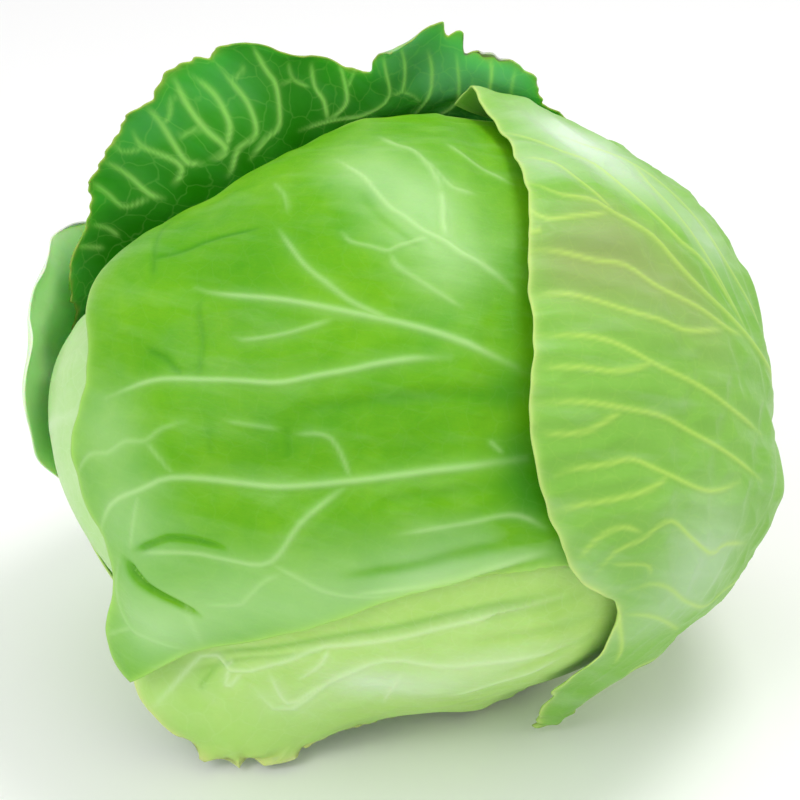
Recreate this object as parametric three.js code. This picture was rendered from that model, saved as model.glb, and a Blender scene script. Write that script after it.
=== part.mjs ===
// A head of green cabbage lying on its side, cut from the plant with its outer leaves on.
// Every leaf is one closed blade that is draped over the tight heart and over the leaves
// inside it. Millimetres, +Z up, with the origin in the middle of the spot it rests on.
import * as THREE from "three";

// The tight heart: a slightly squared ellipsoid, flattened under the head and round the stalk.
const HEART_HALF_WIDTH = 106;
const HEART_HALF_DEPTH = 91;
const HEART_HALF_HEIGHT = 85;
const HEART_SQUARENESS = 2.15;
// It narrows a little towards the stalk side, and is slimmer half way down to the underside.
const HEART_TAPER = 0.04;
const LOWER_SLIMMING = 0.07;
const UNDERSIDE_DISTANCE = 82;
const STALK_SEAT_DISTANCE = 98;
// The crown end is flattened too where it turns down, at the lower left of the front.
const CROWN_SHOULDER = new THREE.Vector3(-0.8, -0.2, -0.56).normalize();
const CROWN_SHOULDER_DISTANCE = 96;
// A broad flat brow lies at the upper left, where the back leaf stands off the head.
const BROW = new THREE.Vector3(-0.56, 0.41, 0.72).normalize();
const BROW_DISTANCE = 79;
const FLATTENING_SHARPNESS = 16;

// The underside leaf is pressed flat by this much where the head lies on it.
const REST_PRESS = 0.5;

// The stalk leaves the head at the right, towards the back and a little downwards.
const STALK_DIRECTION = new THREE.Vector3(0.84, 0.4, -0.37).normalize();
const STALK_RADIUS = 17;
const STALK_START = 97;
const STALK_END = 119;
const STALK_BEVEL = 1.5;
const STALK_SIDES = 24;

// A leaf blade is thick over its middle and thin at its rim.
const BLADE_THICKNESS = 1.6;
const RIM_THICKNESS = 1.1;
const RIM_FADE = 12;
const LEAF_GAP = 1.3;
const HEART_GAP = 0.9;
const STALK_GAP = 0.6;

// Waves of a rim: radians of the wave in one degree, and how far in from the rim they go.
const RIPPLE_TURNS = 0.21;
const RIPPLE_FADE = 14;

// A leaf rides over the ones inside it until this far outside their rims.
const RIDE_FULL = 5;
const RIDE_END = 26;
// Ribs and waves stop this far before a leaf that covers them.
const COVER_FULL = 7;
const COVER_END = 16;

// Length on the head's surface of one degree seen from its centre.
const MM_PER_DEGREE = 1.62;

// Steps along each leaf from its foot to its tip, and lines added between its ribs.
const LEAF_ROWS = 15;
const LINES_PER_WIDTH = 12;
const RIB_FOOT_HALF_WIDTH = 3.4;
const RIB_TIP_HALF_WIDTH = 1.6;
// A rib loses this share of its height from foot to tip, and keeps this share of the leaf's width.
const RIB_HEIGHT_LOSS = 0.7;
const RIB_LEAST_SPACING = 8;
const WIDTH_SAMPLE = 0.01;

// Straight edges that stand for the long sides and the tip of a leaf's rim.
const SIDE_EDGES = 30;
const TIP_EDGES = 36;

const HEART_RINGS = 14;
const HEART_SIDES = 26;

const HEART_COLOUR = 0xcfe6a8;
const STALK_COLOUR = 0xe2ecc4;
const HEART_ROUGHNESS = 0.5;
const STALK_ROUGHNESS = 0.6;
const LEAF_ROUGHNESS = 0.42;

// Leaves from the innermost outwards. A leaf's middle is given by its angle from the stalk
// and its turn round the stalk: 0 is the front, 90 the top, 180 the back, -90 the underside.
// Its rim is given in degrees on the head from that middle: first across, towards larger
// turns, then along, away from the stalk. A lift raises the blade round a point of it:
// [across, along, height in mm, reach in degrees]. A rib is [place across from 0 to 1, height].
const LEAVES = [
  {
    name: "crown_leaf",
    middle: [110, -130],
    footHalfTurn: 40,
    low: [[-16, -70], [-34, -30], [-44, 5], [-38, 48], [-24, 74]],
    tip: [[-24, 74], [0, 81], [24, 78], [40, 64]],
    high: [[12, -72], [20, -35], [38, 5], [46, 40], [40, 64]],
    lifts: [],
    ribs: [[0.5, 1]],
    ripple: 0,
    colour: 0xb8dc96,
  },
  {
    name: "top_inner_leaf",
    middle: [95, 122],
    footHalfTurn: 45,
    low: [[-28, -60], [-46, -20], [-50, 15], [-38, 48], [-20, 68]],
    tip: [[-20, 68], [2, 74], [24, 66]],
    high: [[28, -60], [46, -20], [50, 15], [42, 46], [24, 66]],
    lifts: [],
    ribs: [[0.5, 1]],
    ripple: 0,
    colour: 0x9ccf6a,
  },
  {
    name: "underside_leaf",
    middle: [85, -95],
    footHalfTurn: 45,
    low: [[-30, -50], [-46, -15], [-48, 18], [-38, 40], [-22, 54]],
    tip: [[-22, 54], [0, 58], [20, 52], [34, 40]],
    high: [[28, -52], [44, -20], [50, 6], [44, 26], [34, 40]],
    lifts: [],
    ribs: [[0.25, 1.1], [0.5, 1.8], [0.75, 1.1]],
    ripple: 0,
    colour: 0xa4d070,
  },
  {
    name: "skirt_leaf",
    middle: [95, -25],
    footHalfTurn: 40,
    low: [[-16, -62], [-20, -36], [-24, -16], [-26, 0], [-29, 9], [-31, 15], [-33, 21]],
    tip: [[-33, 21], [-35, 26], [-36, 31], [-38, 37], [-36, 42], [-22, 48], [-4, 48], [14, 42]],
    high: [[34, -60], [46, -20], [38, 14], [14, 42]],
    lifts: [[-39, 29, 19, 12], [-34, 14, 19, 11]],
    ribs: [[0.12, 1.4], [0.3, 1.6], [0.5, 1.4]],
    ripple: 1.5,
    colour: 0xaadb74,
  },
  {
    name: "front_leaf",
    middle: [105, 25],
    footHalfTurn: 48,
    low: [[-15, -70], [-12, -40], [-11, -18], [-18, 4], [-29, 20], [-40, 32], [-49, 43], [-60, 50]],
    tip: [[-60, 50], [-58, 56], [-49, 59], [-41, 59], [-35, 60], [-27, 67], [-17, 73],
      [-4, 72], [6, 73], [18, 80], [36, 84]],
    high: [[42, -62], [72, -28], [84, 8], [78, 44], [60, 70], [36, 84]],
    lifts: [[-58, 50, 4, 12]],
    ribs: [[0.16, 1.6], [0.34, 1.6], [0.48, 2.2], [0.62, 1.6], [0.76, 1.6]],
    ripple: 0.8,
    colour: 0x86c63c,
  },
  {
    name: "right_leaf",
    middle: [62, 30],
    footHalfTurn: 55,
    low: [[-24, -40], [-27, -22], [-32, -14], [-39, -9], [-46, -11], [-54, -15]],
    tip: [[-54, -15], [-58, -12], [-54, -5], [-49, 0], [-46, 6], [-39, 7], [-32, 11], [-22, 18],
      [-18, 29], [-6, 39], [6, 43], [20, 42], [33, 40], [51, 33], [63, 26], [74, 20], [83, 12],
      [92, -1]],
    high: [[36, -56], [64, -46], [84, -24], [92, -1]],
    lifts: [[12, 42, 5, 16], [45, 36, 4, 14], [85, 8, 4, 12], [-56, -15, 9, 10], [-36, -12, 4, 14],
      [-4, -19, 0.5, 14]],
    ribs: [[0.22, 1.4], [0.4, 1.8], [0.56, 2.4], [0.7, 1.8], [0.84, 1.4]],
    ripple: 1,
    colour: 0xa2cd6c,
  },
  {
    name: "back_leaf",
    middle: [95, 175],
    footHalfTurn: 50,
    low: [[-28, -70], [-46, -46], [-56, -22], [-60, -13], [-56, -6], [-54, 0], [-55, 8]],
    tip: [[-55, 8], [-53, 13], [-47, 12], [-44, 11], [-41, 17], [-40, 25], [-38, 32], [-29, 34],
      [-21, 38], [-13, 42], [-5, 44], [2, 44], [7, 48], [11, 50], [16, 47], [28, 40]],
    high: [[28, -70], [46, -34], [50, 2], [42, 26], [28, 40]],
    lifts: [[-60, -7, 7, 13], [-53, 9, 13, 13], [-38, 18, 11, 9], [-39, 31, 3, 5], [-34, 34, 28, 13],
      [-18, 41, 28, 13], [1, 46, 17, 13]],
    ribs: [[0.1, 1.6], [0.3, 1.8], [0.5, 3.2], [0.7, 1.8], [0.88, 1.6]],
    ripple: 2.2,
    colour: 0x35a030,
  },
  {
    name: "left_leaf",
    middle: [110, 215],
    footHalfTurn: 38,
    low: [[-20, -76], [-34, -40], [-42, -5], [-34, 17], [-24, 30]],
    tip: [[-24, 30], [-20, 36], [-15, 42], [-10, 44], [-3, 48], [6, 49], [12, 42], [20, 22]],
    high: [[18, -76], [27, -48], [31, -22], [28, 4], [20, 22]],
    lifts: [[1, 15, 0.4, 12], [-26, 30, 3, 8], [-10, 45, 5, 8], [4, 46, 4, 10]],
    ribs: [[0.2, 1.5], [0.5, 3], [0.8, 1.5]],
    ripple: 1.2,
    colour: 0x7fc060,
  },
];

const RADIANS = Math.PI / 180;
const FRONT = new THREE.Vector3(0, -1, 0).projectOnPlane(STALK_DIRECTION).normalize();
const UPWARD = new THREE.Vector3().crossVectors(FRONT, STALK_DIRECTION);
const DOWN = new THREE.Vector3(0, 0, -1);

function smooth(value) {
  const limited = Math.min(Math.max(value, 0), 1);
  return limited * limited * (3 - 2 * limited);
}

// Radius of the heart in a direction from its centre.
function heartRadius(direction) {
  const below = Math.max(-direction.z, 0) ** 2;
  const taper = 1 + HEART_TAPER * Math.max(direction.x, 0) ** 2
    + LOWER_SLIMMING * 4 * below * (1 - below);
  const round = taper * Math.pow(
    Math.pow(Math.abs(direction.x / HEART_HALF_WIDTH), HEART_SQUARENESS)
      + Math.pow(Math.abs(direction.y / HEART_HALF_DEPTH), HEART_SQUARENESS)
      + Math.pow(Math.abs(direction.z / HEART_HALF_HEIGHT), HEART_SQUARENESS),
    1 / HEART_SQUARENESS,
  );
  const under = Math.max(-direction.z, 0) / UNDERSIDE_DISTANCE;
  const seat = Math.max(direction.dot(STALK_DIRECTION), 0) / STALK_SEAT_DISTANCE;
  const shoulder = Math.max(direction.dot(CROWN_SHOULDER), 0) / CROWN_SHOULDER_DISTANCE;
  const brow = Math.max(direction.dot(BROW), 0) / BROW_DISTANCE;
  const sum = [round, under, seat, shoulder, brow]
    .reduce((total, nearness) => total + Math.pow(nearness, FLATTENING_SHARPNESS), 0);
  return Math.pow(sum, -1 / FLATTENING_SHARPNESS);
}

// Direction at an angle from the stalk and a turn round it.
function directionAt(fromStalk, turn) {
  const sideways = FRONT.clone().multiplyScalar(Math.cos(turn * RADIANS))
    .addScaledVector(UPWARD, Math.sin(turn * RADIANS));
  return STALK_DIRECTION.clone().multiplyScalar(Math.cos(fromStalk * RADIANS))
    .addScaledVector(sideways, Math.sin(fromStalk * RADIANS));
}

// The flat map of one leaf: degrees across and along from the leaf's middle.
class LeafMap {
  constructor([fromStalk, turn]) {
    this.middle = directionAt(fromStalk, turn);
    this.along = STALK_DIRECTION.clone().projectOnPlane(this.middle).normalize().negate();
    this.across = new THREE.Vector3().crossVectors(this.along, this.middle);
  }

  toDirection(point) {
    const angle = Math.hypot(point.x, point.y);
    const stretch = angle < 1e-6 ? RADIANS : Math.sin(angle * RADIANS) / angle;
    return this.middle.clone().multiplyScalar(Math.cos(angle * RADIANS))
      .addScaledVector(this.across, stretch * point.x)
      .addScaledVector(this.along, stretch * point.y);
  }

  toPoint(direction) {
    const cosine = THREE.MathUtils.clamp(direction.dot(this.middle), -1, 1);
    const angle = Math.acos(cosine);
    const stretch = angle < 1e-6 ? 1 : angle / Math.sin(angle);
    return new THREE.Vector2(direction.dot(this.across), direction.dot(this.along))
      .multiplyScalar(stretch / RADIANS);
  }
}

// Distance in mm from a point of the map to the leaf's rim, positive inside the leaf.
function rimDistance(point, outline) {
  let nearest = Infinity;
  let inside = false;
  for (let i = 0, j = outline.length - 1; i < outline.length; j = i++) {
    const a = outline[j];
    const b = outline[i];
    const edgeX = b.x - a.x;
    const edgeY = b.y - a.y;
    const length = edgeX * edgeX + edgeY * edgeY;
    const dot = (point.x - a.x) * edgeX + (point.y - a.y) * edgeY;
    const share = length > 0 ? THREE.MathUtils.clamp(dot / length, 0, 1) : 0;
    const gapX = a.x + share * edgeX - point.x;
    const gapY = a.y + share * edgeY - point.y;
    nearest = Math.min(nearest, gapX * gapX + gapY * gapY);
    const crosses = a.y > point.y !== b.y > point.y;
    if (crosses && point.x < (edgeX * (point.y - a.y)) / edgeY + a.x) {
      inside = !inside;
    }
  }
  return Math.sqrt(nearest) * MM_PER_DEGREE * (inside ? 1 : -1);
}

// Height by which a leaf stands off the leaves inside it: its lifts and its waved rim.
function ownLift(leaf, point, distance) {
  let height = 0;
  const wave = Math.sin(RIPPLE_TURNS * point.x) * Math.sin(RIPPLE_TURNS * point.y + 1);
  height += leaf.ripple * (1 + wave) * Math.exp(-Math.max(distance, 0) / RIPPLE_FADE) / 2;
  for (const [across, along, lift, reach] of leaf.lifts) {
    const away = Math.hypot(point.x - across, point.y - along) / reach;
    height += lift * Math.exp(-away * away);
  }
  return height;
}

// How much of the leaves outside this one covers a direction, from 0 to 1.
function coverAt(direction, order) {
  let cover = 0;
  for (const outer of leaves.slice(order + 1)) {
    const distance = rimDistance(outer.map.toPoint(direction), outer.outline);
    cover = Math.max(cover, smooth((distance + COVER_END) / (COVER_END - COVER_FULL)));
  }
  return cover;
}

// Height over the heart of what lies inside the leaf of this order.
function heightInside(direction, order) {
  let height = LEAF_GAP / 2;
  for (const inner of leaves.slice(0, order)) {
    const point = inner.map.toPoint(direction);
    const distance = rimDistance(point, inner.outline);
    const ride = smooth((distance + RIDE_END) / (RIDE_END - RIDE_FULL));
    if (ride > 0) {
      height += ride * (BLADE_THICKNESS + LEAF_GAP + ownLift(inner, point, distance));
    }
  }
  return height;
}

// Height of the heart's centre over the surface, so that the underside leaf lies on it.
function restHeight() {
  const order = leaves.findIndex((leaf) => leaf.name === "underside_leaf");
  return heartRadius(DOWN) + heightInside(DOWN, order) + BLADE_THICKNESS - REST_PRESS;
}

// Points of a leaf's foot, which stands round the stalk.
function footPoint(leaf, share) {
  const turn = leaf.middle[1] + leaf.footHalfTurn * (2 * share - 1);
  let fromStalk = Math.asin(STALK_RADIUS / STALK_SEAT_DISTANCE) / RADIANS;
  for (let pass = 0; pass < 3; pass++) {
    const direction = directionAt(fromStalk, turn);
    const radius = heartRadius(direction) + heightInside(direction, leaf.order);
    fromStalk = Math.asin((STALK_RADIUS + STALK_GAP) / radius) / RADIANS;
  }
  return leaf.map.toPoint(directionAt(fromStalk, turn));
}

function curveThrough(points) {
  return new THREE.SplineCurve(points.map((point) => new THREE.Vector2(...point)));
}

// A patch between the leaf's foot, its two long sides and its tip.
function patchPoint(leaf, across, along) {
  const low = leaf.lowCurve.getPointAt(along);
  const high = leaf.highCurve.getPointAt(along);
  const foot = leaf.footCurve.getPointAt(across);
  const tip = leaf.tipCurve.getPointAt(across);
  const corner = (curve, end, weight) => curve.getPoint(end).multiplyScalar(weight);
  return low.multiplyScalar(1 - across)
    .addScaledVector(high, across)
    .addScaledVector(foot, 1 - along)
    .addScaledVector(tip, along)
    .sub(corner(leaf.footCurve, 0, (1 - across) * (1 - along)))
    .sub(corner(leaf.footCurve, 1, across * (1 - along)))
    .sub(corner(leaf.tipCurve, 0, (1 - across) * along))
    .sub(corner(leaf.tipCurve, 1, across * along));
}

const leaves = [];
LEAVES.forEach((description, order) => {
  const leaf = { ...description, order, map: new LeafMap(description.middle) };
  leaves.push(leaf);
  const feet = [0, 0.25, 0.5, 0.75, 1].map((share) => footPoint(leaf, share));
  leaf.footCurve = new THREE.SplineCurve(feet);
  leaf.lowCurve = curveThrough([feet[0].toArray(), ...leaf.low]);
  leaf.highCurve = curveThrough([feet[4].toArray(), ...leaf.high]);
  leaf.tipCurve = curveThrough(leaf.tip);
  leaf.outline = [
    ...leaf.lowCurve.getSpacedPoints(SIDE_EDGES),
    ...leaf.tipCurve.getSpacedPoints(TIP_EDGES),
    ...leaf.highCurve.getSpacedPoints(SIDE_EDGES).reverse(),
  ];
});

const CENTRE = new THREE.Vector3(0, 0, restHeight());

// Places across the leaf where the lines of its mesh run: three for each rib, and the rest.
function linePlaces(leaf) {
  const places = [{ across: 0, side: 0 }];
  const stops = [0, ...leaf.ribs.map(([across]) => across), 1];
  for (let i = 1; i < stops.length; i++) {
    const start = stops[i - 1];
    const span = stops[i] - start;
    const lines = Math.max(Math.round(span * LINES_PER_WIDTH) - 1, 1);
    for (let line = 1; line <= lines; line++) {
      places.push({ across: start + (span * line) / (lines + 1), side: 0 });
    }
    if (i < stops.length - 1) {
      places.push({ across: stops[i], side: -1 }, { across: stops[i], side: 0, rib: i - 1 });
      places.push({ across: stops[i], side: 1 });
    }
  }
  places.push({ across: 1, side: 0 });
  return places;
}

// Place across for one line, with a rib's two flanks kept at the rib's own width.
function acrossAt(leaf, place, along) {
  if (place.side === 0) {
    return place.across;
  }
  const here = patchPoint(leaf, place.across, along);
  const beside = patchPoint(leaf, place.across + WIDTH_SAMPLE, along);
  const widthOfLeaf = (here.distanceTo(beside) / WIDTH_SAMPLE) * MM_PER_DEGREE;
  const halfWidth = THREE.MathUtils.lerp(RIB_FOOT_HALF_WIDTH, RIB_TIP_HALF_WIDTH, along);
  return place.across + (place.side * halfWidth) / Math.max(widthOfLeaf, RIB_LEAST_SPACING * halfWidth);
}

function placeOnHead(direction, height, lowest) {
  const point = direction.clone().multiplyScalar(heartRadius(direction) + height).add(CENTRE);
  point.z = Math.max(point.z, lowest);
  return point;
}

function ribHeight(leaf, rib, along) {
  const [, height] = leaf.ribs[rib];
  return height * (1 - RIB_HEIGHT_LOSS * along);
}

function leafGeometry(leaf) {
  const places = linePlaces(leaf);
  const columns = places.length;
  const inner = [];
  const outer = [];
  for (let row = 0; row <= LEAF_ROWS; row++) {
    const along = row / LEAF_ROWS;
    for (const place of places) {
      const point = patchPoint(leaf, acrossAt(leaf, place, along), along);
      const direction = leaf.map.toDirection(point);
      const distance = Math.abs(rimDistance(point, leaf.outline));
      const free = 1 - coverAt(direction, leaf.order);
      const inside = heightInside(direction, leaf.order) + ownLift(leaf, point, distance);
      const blade = THREE.MathUtils.lerp(RIM_THICKNESS, BLADE_THICKNESS, smooth(distance / RIM_FADE));
      const rib = place.rib === undefined ? 0 : ribHeight(leaf, place.rib, along) * free;
      inner.push(placeOnHead(direction, inside, RIM_THICKNESS));
      outer.push(placeOnHead(direction, inside + blade + rib, 0));
    }
  }
  const positions = [...inner, ...outer].flatMap((point) => point.toArray());
  const faces = [];
  const shift = inner.length;
  const addQuad = (a, b, c, d) => faces.push(a, b, c, a, c, d);
  for (let row = 0; row < LEAF_ROWS; row++) {
    for (let column = 0; column < columns - 1; column++) {
      const a = row * columns + column;
      const b = a + 1;
      const c = b + columns;
      const d = a + columns;
      faces.push(a + shift, b + shift, c + shift, a + shift, c + shift, d + shift);
      faces.push(a, c, b, a, d, c);
    }
  }
  const last = LEAF_ROWS * columns;
  for (let column = 0; column < columns - 1; column++) {
    addQuad(column, column + 1, column + 1 + shift, column + shift);
    addQuad(last + column + 1, last + column, last + column + shift, last + column + 1 + shift);
  }
  for (let row = 0; row < LEAF_ROWS; row++) {
    const low = row * columns;
    const high = low + columns - 1;
    addQuad(low + columns, low, low + shift, low + columns + shift);
    addQuad(high, high + columns, high + columns + shift, high + shift);
  }
  const geometry = new THREE.BufferGeometry();
  geometry.setAttribute("position", new THREE.Float32BufferAttribute(positions, 3));
  geometry.setIndex(faces);
  geometry.computeVertexNormals();
  return geometry;
}

function heartGeometry() {
  const geometry = new THREE.SphereGeometry(1, HEART_SIDES, HEART_RINGS);
  const position = geometry.attributes.position;
  for (let i = 0; i < position.count; i++) {
    const direction = new THREE.Vector3().fromBufferAttribute(position, i).normalize();
    const radius = heartRadius(direction) - HEART_GAP;
    const point = direction.clone().multiplyScalar(radius).add(CENTRE);
    position.setXYZ(i, point.x, point.y, point.z);
  }
  geometry.computeVertexNormals();
  return geometry;
}

function stalkGeometry() {
  const profile = [
    [0, STALK_START],
    [STALK_RADIUS, STALK_START],
    [STALK_RADIUS, STALK_END - STALK_BEVEL],
    [STALK_RADIUS - STALK_BEVEL, STALK_END],
    [0, STALK_END],
  ].map(([radius, height]) => new THREE.Vector2(radius, height));
  const geometry = new THREE.LatheGeometry(profile, STALK_SIDES);
  const up = new THREE.Vector3(0, 1, 0);
  geometry.applyQuaternion(new THREE.Quaternion().setFromUnitVectors(up, STALK_DIRECTION));
  geometry.translate(CENTRE.x, CENTRE.y, CENTRE.z);
  return geometry;
}

function namedMesh(name, geometry, colour, roughness) {
  const material = new THREE.MeshStandardMaterial({ color: colour, roughness, metalness: 0 });
  const mesh = new THREE.Mesh(geometry, material);
  mesh.name = name;
  return mesh;
}

const cabbage = new THREE.Group();
cabbage.add(namedMesh("heart", heartGeometry(), HEART_COLOUR, HEART_ROUGHNESS));
cabbage.add(namedMesh("stalk", stalkGeometry(), STALK_COLOUR, STALK_ROUGHNESS));
for (const leaf of leaves) {
  cabbage.add(namedMesh(leaf.name, leafGeometry(leaf), leaf.colour, LEAF_ROUGHNESS));
}

export default cabbage;
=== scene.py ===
import math

import bpy
import numpy as np
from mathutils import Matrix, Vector


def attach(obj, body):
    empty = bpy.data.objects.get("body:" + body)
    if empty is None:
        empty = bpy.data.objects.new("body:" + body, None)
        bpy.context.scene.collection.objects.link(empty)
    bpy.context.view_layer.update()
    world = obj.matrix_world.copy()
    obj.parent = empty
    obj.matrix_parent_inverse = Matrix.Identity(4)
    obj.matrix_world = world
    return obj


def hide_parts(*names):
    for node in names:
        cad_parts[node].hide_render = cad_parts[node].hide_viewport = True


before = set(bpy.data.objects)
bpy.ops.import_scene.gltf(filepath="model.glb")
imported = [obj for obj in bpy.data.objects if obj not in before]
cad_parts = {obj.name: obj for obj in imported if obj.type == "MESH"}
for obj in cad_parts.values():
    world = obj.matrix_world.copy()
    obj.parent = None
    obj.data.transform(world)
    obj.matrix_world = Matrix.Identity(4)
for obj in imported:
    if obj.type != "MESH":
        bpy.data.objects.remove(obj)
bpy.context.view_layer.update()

# The camera looks down on the head from the front at 30 degrees, with a longish lens.
# Plain soft studio light comes from above and behind the right shoulder, over a pale floor.
MM = 0.001
PICTURE_SIZE = 800
SENSOR_MM = 36.0
LENS_MM = 100.0
CAMERA_DISTANCE = 670.0
CAMERA_ELEVATION = math.radians(30)
AIM_HEIGHT = 81.6
RIGHT = np.array((1.0, 0.0, 0.0))
UP = np.array((0.0, math.sin(CAMERA_ELEVATION), math.cos(CAMERA_ELEVATION)))
TOWARDS_CAMERA = np.array((0.0, -math.cos(CAMERA_ELEVATION), math.sin(CAMERA_ELEVATION)))
FRAMED_LEFT = 3.0
FRAMED_UP = 4.5
camera_target = np.array((0.0, 0.0, AIM_HEIGHT)) - FRAMED_LEFT * RIGHT + FRAMED_UP * UP
camera_place = camera_target + CAMERA_DISTANCE * TOWARDS_CAMERA

camera_data = bpy.data.cameras.new("camera")
camera_data.lens = LENS_MM
camera_data.sensor_width = SENSOR_MM
camera = bpy.data.objects.new("camera", camera_data)
camera.location = Vector(camera_place * MM)
aim = Vector((camera_target - camera_place) * MM)
camera.rotation_euler = aim.to_track_quat("-Z", "Y").to_euler()
bpy.context.collection.objects.link(camera)
bpy.context.scene.camera = camera


def soft_light(name, place, power, size, colour):
    """A square lamp at a place in metres, turned towards the head."""
    data = bpy.data.lights.new(name, "AREA")
    data.energy = power
    data.size = size
    data.color = colour
    light = bpy.data.objects.new(name, data)
    light.location = place
    light.rotation_euler = (-Vector(place)).to_track_quat("-Z", "Y").to_euler()
    bpy.context.collection.objects.link(light)


soft_light("key_light", place=(0.3, 0.1, 1.0), power=3.6, size=0.35, colour=(1.0, 0.99, 0.97))
soft_light("window_light", place=(-0.6, -0.7, 0.8), power=3.4, size=0.5, colour=(0.97, 0.99, 1.0))

world = bpy.data.worlds.new("studio")
world.use_nodes = True
sky = world.node_tree.nodes["Background"]
sky.inputs["Color"].default_value = (1.0, 1.0, 1.0, 1.0)
sky.inputs["Strength"].default_value = 0.82
bpy.context.scene.world = world
bpy.context.scene.view_settings.view_transform = "Standard"
bpy.context.scene.view_settings.look = "None"

FLOOR_HALF = 6.0
floor_mesh = bpy.data.meshes.new("floor")
floor_corners = [(-FLOOR_HALF, -FLOOR_HALF, 0), (FLOOR_HALF, -FLOOR_HALF, 0),
                 (FLOOR_HALF, FLOOR_HALF, 0), (-FLOOR_HALF, FLOOR_HALF, 0)]
floor_mesh.from_pydata(floor_corners, [], [(0, 1, 2, 3)])
floor = bpy.data.objects.new("floor", floor_mesh)
bpy.context.collection.objects.link(floor)
floor_material = bpy.data.materials.new("floor_white")
floor_material.use_nodes = True
floor_shader = floor_material.node_tree.nodes["Principled BSDF"]
floor_shader.inputs["Base Color"].default_value = (0.93, 0.93, 0.93, 1.0)
floor_shader.inputs["Roughness"].default_value = 0.7
floor_mesh.materials.append(floor_material)

# The heart: the tight ball of inner leaves, a slightly squared ellipsoid with four flattened
# places: the underside, the seat of the stalk, the crown's shoulder at the lower left, and the
# brow at the upper left. Its surface steps down along the rims of the leaves it is made of.
BODY = "root"
CENTRE = np.array((0.0, 0.0, 81.4936))
HEART_HALF_SIZES = np.array((106.0, 91.0, 85.0))
HEART_SQUARENESS = 2.15
HEART_TAPER = 0.04
LOWER_SLIMMING = 0.07
UNDERSIDE_DISTANCE = 82.0
CROWN_SHOULDER_DISTANCE = 96.0
BROW_DISTANCE = 79.0
STALK_SEAT_DISTANCE = 98.0
FLATTENING_SHARPNESS = 16
HEART_GAP = 0.9
STALK_DIRECTION = np.array((0.84, 0.4, -0.37))
STALK_DIRECTION = STALK_DIRECTION / np.linalg.norm(STALK_DIRECTION)


def unit(vectors):
    """Vectors of length one in the same directions."""
    return vectors / np.linalg.norm(vectors, axis=-1, keepdims=True)


CROWN_SHOULDER = unit(np.array((-0.8, -0.2, -0.56)))
BROW = unit(np.array((-0.56, 0.41, 0.72)))
FRONT = np.array((0.0, -1.0, 0.0))
FRONT = unit(FRONT - FRONT.dot(STALK_DIRECTION) * STALK_DIRECTION)
UPWARD = np.cross(FRONT, STALK_DIRECTION)


def heart_radius(directions):
    """Distance in mm from the head's centre to the heart's surface in some directions."""
    below = np.maximum(-directions[..., 2], 0) ** 2
    taper = 1 + HEART_TAPER * np.maximum(directions[..., 0], 0) ** 2
    taper += LOWER_SLIMMING * 4 * below * (1 - below)
    powers = np.abs(directions / HEART_HALF_SIZES) ** HEART_SQUARENESS
    round_part = taper * powers.sum(axis=-1) ** (1 / HEART_SQUARENESS)
    under = np.maximum(-directions[..., 2], 0) / UNDERSIDE_DISTANCE
    seat = np.maximum(directions @ STALK_DIRECTION, 0) / STALK_SEAT_DISTANCE
    shoulder = np.maximum(directions @ CROWN_SHOULDER, 0) / CROWN_SHOULDER_DISTANCE
    brow = np.maximum(directions @ BROW, 0) / BROW_DISTANCE
    total = sum(part ** FLATTENING_SHARPNESS for part in (round_part, under, seat, shoulder, brow))
    return total ** (-1 / FLATTENING_SHARPNESS)


def smooth(values):
    """An even rise from 0 to 1, flat at both ends."""
    limited = np.clip(values, 0, 1)
    return limited * limited * (3 - 2 * limited)


def new_piece(name, points, faces, material, node):
    """A piece of the visible model, from points in mm, that stands in for one solid."""
    mesh = bpy.data.meshes.new(name)
    mesh.from_pydata((points * MM).tolist(), [], faces)
    mesh.shade_smooth()
    mesh.materials.append(material)
    piece = bpy.data.objects.new(name, mesh)
    bpy.context.collection.objects.link(piece)
    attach(piece, BODY)
    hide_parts(node)
    return piece


def new_material(name):
    material = bpy.data.materials.new(name)
    material.use_nodes = True
    return material, material.node_tree.nodes, material.node_tree.links


def new_node(nodes, links, kind, inputs):
    """A shader node of one kind. Each named input is given a plain value or another node's output."""
    node = nodes.new("ShaderNode" + kind)
    for name, value in inputs.items():
        if isinstance(value, bpy.types.NodeSocket):
            links.new(value, node.inputs[name])
        else:
            node.inputs[name].default_value = value
    return node


def ring_faces(rings, sides, start, end):
    """Faces between rings of points, closed by a fan round a start point and one round an end point."""
    faces = []
    last = (rings - 1) * sides
    for side in range(sides):
        after = (side + 1) % sides
        faces.append((start, side, after))
        faces.append((end, last + after, last + side))
        for row in range(0, last, sides):
            faces.append((row + side, row + sides + side, row + sides + after, row + after))
    return faces


HEART_RINGS = 96
HEART_SIDES = 160
HEART_WRAPS = 5
HEART_WRAP_STEP = 0.35
HEART_WRAP_SWAY = 0.3
HEART_WRAP_SWAY_WAVES = 4

ring, side = np.meshgrid(np.arange(1, HEART_RINGS), np.arange(HEART_SIDES), indexing="ij")
polar = np.pi * ring / HEART_RINGS
turn = 2 * np.pi * side / HEART_SIDES
heart_directions = np.stack((np.sin(polar) * np.cos(turn), np.sin(polar) * np.sin(turn),
                             np.cos(polar)), axis=-1).reshape(-1, 3)
poles = np.array(((0.0, 0.0, 1.0), (0.0, 0.0, -1.0)))
heart_directions = np.concatenate((heart_directions, poles))
spiral = (np.arctan2(heart_directions @ UPWARD, heart_directions @ FRONT) / (2 * np.pi)
          * HEART_WRAPS
          + HEART_WRAP_SWAY * np.sin(HEART_WRAP_SWAY_WAVES * (heart_directions @ STALK_DIRECTION)))
wrap_rise = HEART_WRAP_STEP * (spiral - np.floor(spiral))
heart_points = CENTRE + heart_directions * (
    heart_radius(heart_directions) - HEART_GAP - wrap_rise)[:, None]
heart_faces = ring_faces(HEART_RINGS - 1, HEART_SIDES, len(heart_points) - 2, len(heart_points) - 1)

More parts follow.
